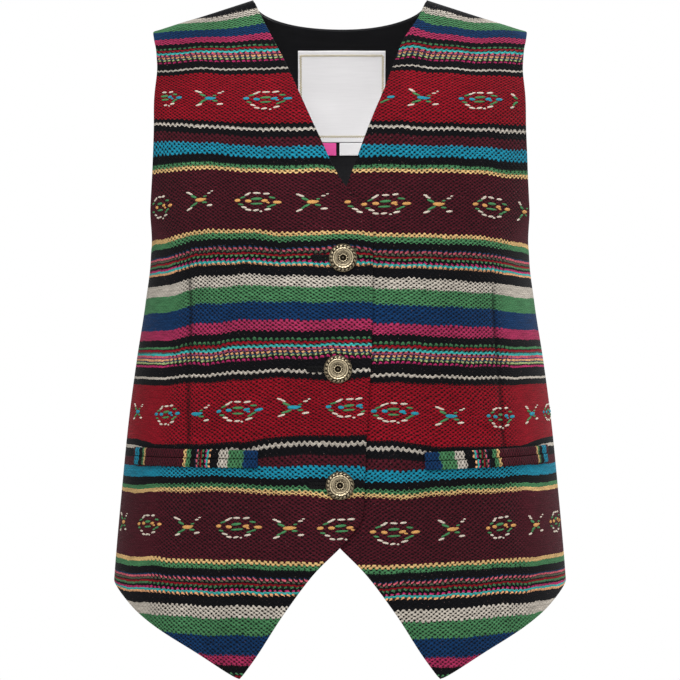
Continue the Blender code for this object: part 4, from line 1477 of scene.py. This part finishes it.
def button(name, node, x, height, turned):
    """A stamped button: its outline turned about its middle, with petals, a scalloped ring and a rope.

    The rope's height follows cos(lobes * angle + slant * radius), and the petals' cos(petals * angle).
    """
    sides = 152
    t = np.arange(sides) * 2 * math.pi / sides
    radius, level, hollow = (np.repeat(column[:, None], sides, axis=1) for column in BUTTON_PROFILE.T)
    order = np.arange(len(BUTTON_PROFILE))[:, None]
    face_side = order < BUTTON_FACE_RINGS
    rope = eased(7.5, 7.9, radius) * (1 - eased(9.3, 9.7, radius)) * face_side
    lobes = np.cos(BUTTON_LOBES * t[None, :] + 1.3 * radius)
    level = level + rope * 0.2 * lobes
    hollow = hollow + rope * 0.3 * np.clip(-lobes, 0, 1) - rope * 0.2 * np.clip(lobes, 0, 1)
    ring = eased(6.2, 6.7, radius) * (1 - eased(7.15, 7.4, radius)) * face_side
    scallop = np.cos(BUTTON_LOBES * t[None, :] + turned)
    radius = radius + ring * 0.2 * scallop
    petals = eased(2.3, 2.8, radius) * (1 - eased(3.2, 3.7, radius)) * face_side
    leaf = np.cos(PETALS * t[None, :])
    level = level + petals * 0.16 * leaf
    hollow = hollow + petals * 0.45 * np.clip(-leaf, 0, 1)
    point, direction = seat(x, height)
    across = unit(np.cross(np.array([0.0, 0.0, 1.0]), direction))
    upward = np.cross(direction, across)
    spin = t[None, :] + turned
    rings = (point + across * (radius * np.cos(spin))[..., None]
             + upward * (radius * np.sin(spin))[..., None] + direction * level[..., None])
    marks = {"hollow": np.concatenate([hollow.ravel(), [1.0, 1.0]])}
    piece = closed_tubes(name, rings[None], [BRASS], None, None, marks)
    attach(piece, "root")
    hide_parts(node)


# Stitches of a buttonhole: its length, how far the middle of a stitch is from the slit, lengths of the
# stitches over the lips and across the end, and their spacing in the two places
HOLE_REACH = 20.0
LIP_OFFSET = 1.2
LIP_STITCH = 2.7
BAR_STITCH = 2.6
LIP_SPACING = 0.46
BAR_SPACING = 0.55


def buttonhole(name, x, height):
    """Close stitches over both lips of a buttonhole, from the shank to its left end, and a bar there."""
    spots = []
    for dx in np.arange(-HOLE_REACH, -1.0, LIP_SPACING):
        for direction in (1, -1):
            spots.append((x + dx, height + direction * LIP_OFFSET, 0.0, LIP_STITCH))
    for dz in np.arange(-1.9, 2.0, BAR_SPACING):
        spots.append((x - HOLE_REACH - 0.6, height + dz, 1.0, BAR_STITCH))
    px, pz, flat, length = np.array(spots).T
    rng = np.random.default_rng(int(-height))
    pz = pz + rng.normal(0, 0.08, len(pz))
    points = []
    for step_x, step_z in ((0, 0), (0.5, 0), (0, 0.5)):
        angle = np.arcsin((px + step_x) / half_width(pz + step_z))
        points.append(front_layer(angle, pz + step_z, OVER, 0.15))
    weft, warp = unit(points[1] - points[0]), unit(points[2] - points[0])
    out = unit(np.cross(weft, warp))
    lean = rng.normal(0, 0.12, len(px))[:, None]
    along = np.where(flat[:, None] > 0.5, weft, unit(warp + weft * lean))
    across = np.cross(out, along)
    rings = thread_rings(points[0], along * length[:, None] / 2, across * 0.34, out * 0.5)
    piece = closed_tubes(name, rings, [BLACK_THREAD])
    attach(piece, "root")


for number, (node, x, height) in enumerate(BUTTONS):
    button(node + "_metal", node, x, height, 0.7 * number)
    buttonhole("buttonhole_stitches_" + node.split("_")[1], x, height)


# Label and tabs


def on_lining(x, height, lift):
    """Points that stand off the inner side of the back's lining."""
    angle = np.arcsin(np.clip(x / half_width(height), -1, 1))
    out = -BACK_WALL - SEAM_GAP - LINING_WALL - lift
    return cloth_layer(angle, height, "back", out, LINING_CREASES)


def ribbon_lift(x, height, box):
    """How far the underside of a ribbon lies off the lining.

    A gap, plus a curl of its lower corners, which grows with the sixth power of the distance from the
    middle and the cube of the way down, plus a slight wave.
    """
    left, right, top, bottom = box
    across = (x - left) / (right - left) * 2 - 1
    down = (top - height) / (top - bottom)
    curl = 0.9 * np.abs(across) ** 6 * down ** 3
    wave = 0.25 * np.sin(x / 9.0 + 1.0) * np.sin(height / 13.0)
    return LAYER_GAP + 0.25 + curl + wave


def ribbon(name, node, box, material, columns, rows):
    """A flat piece of ribbon on the lining, its lower corners curling off it a little."""
    left, right, top, bottom = box
    x, height = np.meshgrid(np.linspace(left, right, columns), np.linspace(top, bottom, rows))
    lift = ribbon_lift(x, height, box)
    inner = on_lining(x, height, lift)
    outer = on_lining(x, height, lift + LABEL_WALL)
    rounding = np.full(x.shape, LABEL_WALL / 2)
    piece = wall(name, outer, inner, rounding, [material])
    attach(piece, "root")
    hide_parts(node)


# Zigzag border of the label: its distance from the sides, top and foot, and the length, spacing and
# turn of its stitches in degrees
BORDER_INSET = 2.0
BORDER_TOP_INSET = 3.6
BORDER_FOOT = 4.4
BORDER_STITCH = 2.5
BORDER_STEP = 0.95
BORDER_SLANT = 56.0


def border_stitches(name, box):
    """A zigzag of beige stitches round the label, each turned from the line, left and right in turn."""
    left, right, top, bottom = box
    left_run, right_run = left + BORDER_INSET, right - BORDER_INSET
    top_run, foot_run = top - BORDER_TOP_INSET, bottom + BORDER_FOOT
    runs = [
        (left_run, top_run, right_run, top_run),
        (left_run, top_run, left_run, foot_run),
        (right_run, top_run, right_run, foot_run),
        (left_run, foot_run, right_run, foot_run),
    ]
    rows = []
    rng = np.random.default_rng(5)
    for x0, z0, x1, z1 in runs:
        length = math.hypot(x1 - x0, z1 - z0)
        count = int(length / BORDER_STEP)
        for stitch in range(count):
            part = (stitch + 0.5) / count
            slant = math.radians(BORDER_SLANT + rng.normal(0, 9)) * (-1) ** stitch
            turn = math.atan2(z1 - z0, x1 - x0) + slant
            rows.append((x0 + (x1 - x0) * part, z0 + (z1 - z0) * part, math.cos(turn), math.sin(turn)))
    x, height, run_x, run_z = np.array(rows).T
    lift = ribbon_lift(x, height, box) + LABEL_WALL + 0.02
    centre = on_lining(x, height, lift)
    ahead = on_lining(x + run_x * 0.5, height + run_z * 0.5, lift)
    along = unit(ahead - centre)
    angle = np.arcsin(x / half_width(height))
    out = -body_normal(angle, height, "back")
    across_stitch = np.cross(out, along)
    rings = thread_rings(centre, along * BORDER_STITCH / 2, across_stitch * 0.3, out * 0.3)
    piece = closed_tubes(name, rings, [GOLD_THREAD])
    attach(piece, "root")


ribbon("neck_label_ribbon", "neck_label", LABEL, LABEL_SATIN, 56, 58)
border_stitches("neck_label_stitches", LABEL)
ribbon("size_tab_ribbon", "size_tab", SIZE_TAB, PINK_SATIN, 16, 12)
ribbon("care_tab_ribbon", "care_tab", CARE_TAB, LABEL_SATIN, 18, 12)


# Floor, light and camera


FLOOR_HEIGHT = -620.0
FLOOR_RADIUS = 900.0
FLOOR_SIDES = 96


def floor():
    """A plain pale round floor under the garment, a fan of triangles round its middle."""
    turn = np.arange(FLOOR_SIDES) * 2 * math.pi / FLOOR_SIDES
    level = 0 * turn + FLOOR_HEIGHT
    rim = np.stack([FLOOR_RADIUS * np.cos(turn), FLOOR_RADIUS * np.sin(turn), level], axis=-1)
    points = np.concatenate([rim, [(0.0, 0.0, FLOOR_HEIGHT)]])
    faces = [(i, (i + 1) % FLOOR_SIDES, FLOOR_SIDES) for i in range(FLOOR_SIDES)]
    material, tree, shader = new_material("pale_studio_paper", Roughness=0.9)
    place = put(tree, "ShaderNodeTexCoord", out=3)
    grain = put(tree, NOISE, {0: place, 2: 260.0, 3: 2.0})
    tone = put(tree, MIX, {0: grain, 6: linear("#e6e5e3"), 7: linear("#ecebe9")}, out=2, data_type="RGBA")
    tree.links.new(tone, shader.inputs["Base Color"])
    mesh = bpy.data.meshes.new("floor")
    mesh.from_pydata((points * MM).tolist(), [], faces)
    mesh.materials.append(material)
    piece = bpy.data.objects.new("floor", mesh)
    bpy.context.scene.collection.objects.link(piece)


def soft_light(name, place, aim, size, watts):
    """A square area light that faces a point."""
    light = bpy.data.lights.new(name, "AREA")
    light.shape = "SQUARE"
    light.size = size
    light.energy = watts
    lamp = bpy.data.objects.new(name, light)
    lamp.location = place
    lamp.rotation_mode = "QUATERNION"
    lamp.rotation_quaternion = (Vector(aim) - Vector(place)).to_track_quat("-Z", "Y")
    bpy.context.scene.collection.objects.link(lamp)


def studio():
    """A pale room, brightest at the height of the eyes, with a large soft lamp in front and above.

    Weaker lamps stand at the right and behind.
    """
    world = bpy.data.worlds.new("pale_studio")
    world.use_nodes = True
    tree = world.node_tree
    background = tree.nodes["Background"]
    direction = put(tree, "ShaderNodeTexCoord")
    upward = put(tree, "ShaderNodeSeparateXYZ", [direction], out=2)
    above = put(tree, RANGE, [upward, 0.2, 0.5, 1.0, 0.4], interpolation_type="SMOOTHSTEP")
    below = put(tree, RANGE, [upward, -0.5, -0.2, 0.15, 1.0], interpolation_type="SMOOTHSTEP")
    strength = put(tree, MATH, [above, below], operation="MULTIPLY")
    background.inputs["Color"].default_value = (1.0, 1.0, 1.0, 1.0)
    tree.links.new(strength, background.inputs["Strength"])
    bpy.context.scene.world = world
    bpy.context.scene.view_settings.view_transform = "Standard"
    middle = (0.0, 0.0, -0.25)
    soft_light("key", (-0.15, -0.8, 0.6), middle, 0.7, 13.5)
    soft_light("fill", (1.0, -1.2, 0.5), middle, 1.0, 5.0)
    soft_light("rear", (1.5, 0.9, 0.8), middle, 0.5, 30.0)


def camera():
    """The photograph's view: level, from the front, with the horizon in the middle of the frame."""
    lens = bpy.data.cameras.new("camera")
    lens.sensor_width = SENSOR
    lens.lens = SENSOR * CAMERA_DISTANCE / (PHOTO_PIXELS * MM_PER_PIXEL)
    viewer = bpy.data.objects.new("camera", lens)
    viewer.location = (0.0, -CAMERA_DISTANCE * MM, CAMERA_HEIGHT * MM)
    viewer.rotation_euler = (math.pi / 2, 0.0, 0.0)
    bpy.context.scene.collection.objects.link(viewer)
    bpy.context.scene.camera = viewer


floor()
studio()
camera()
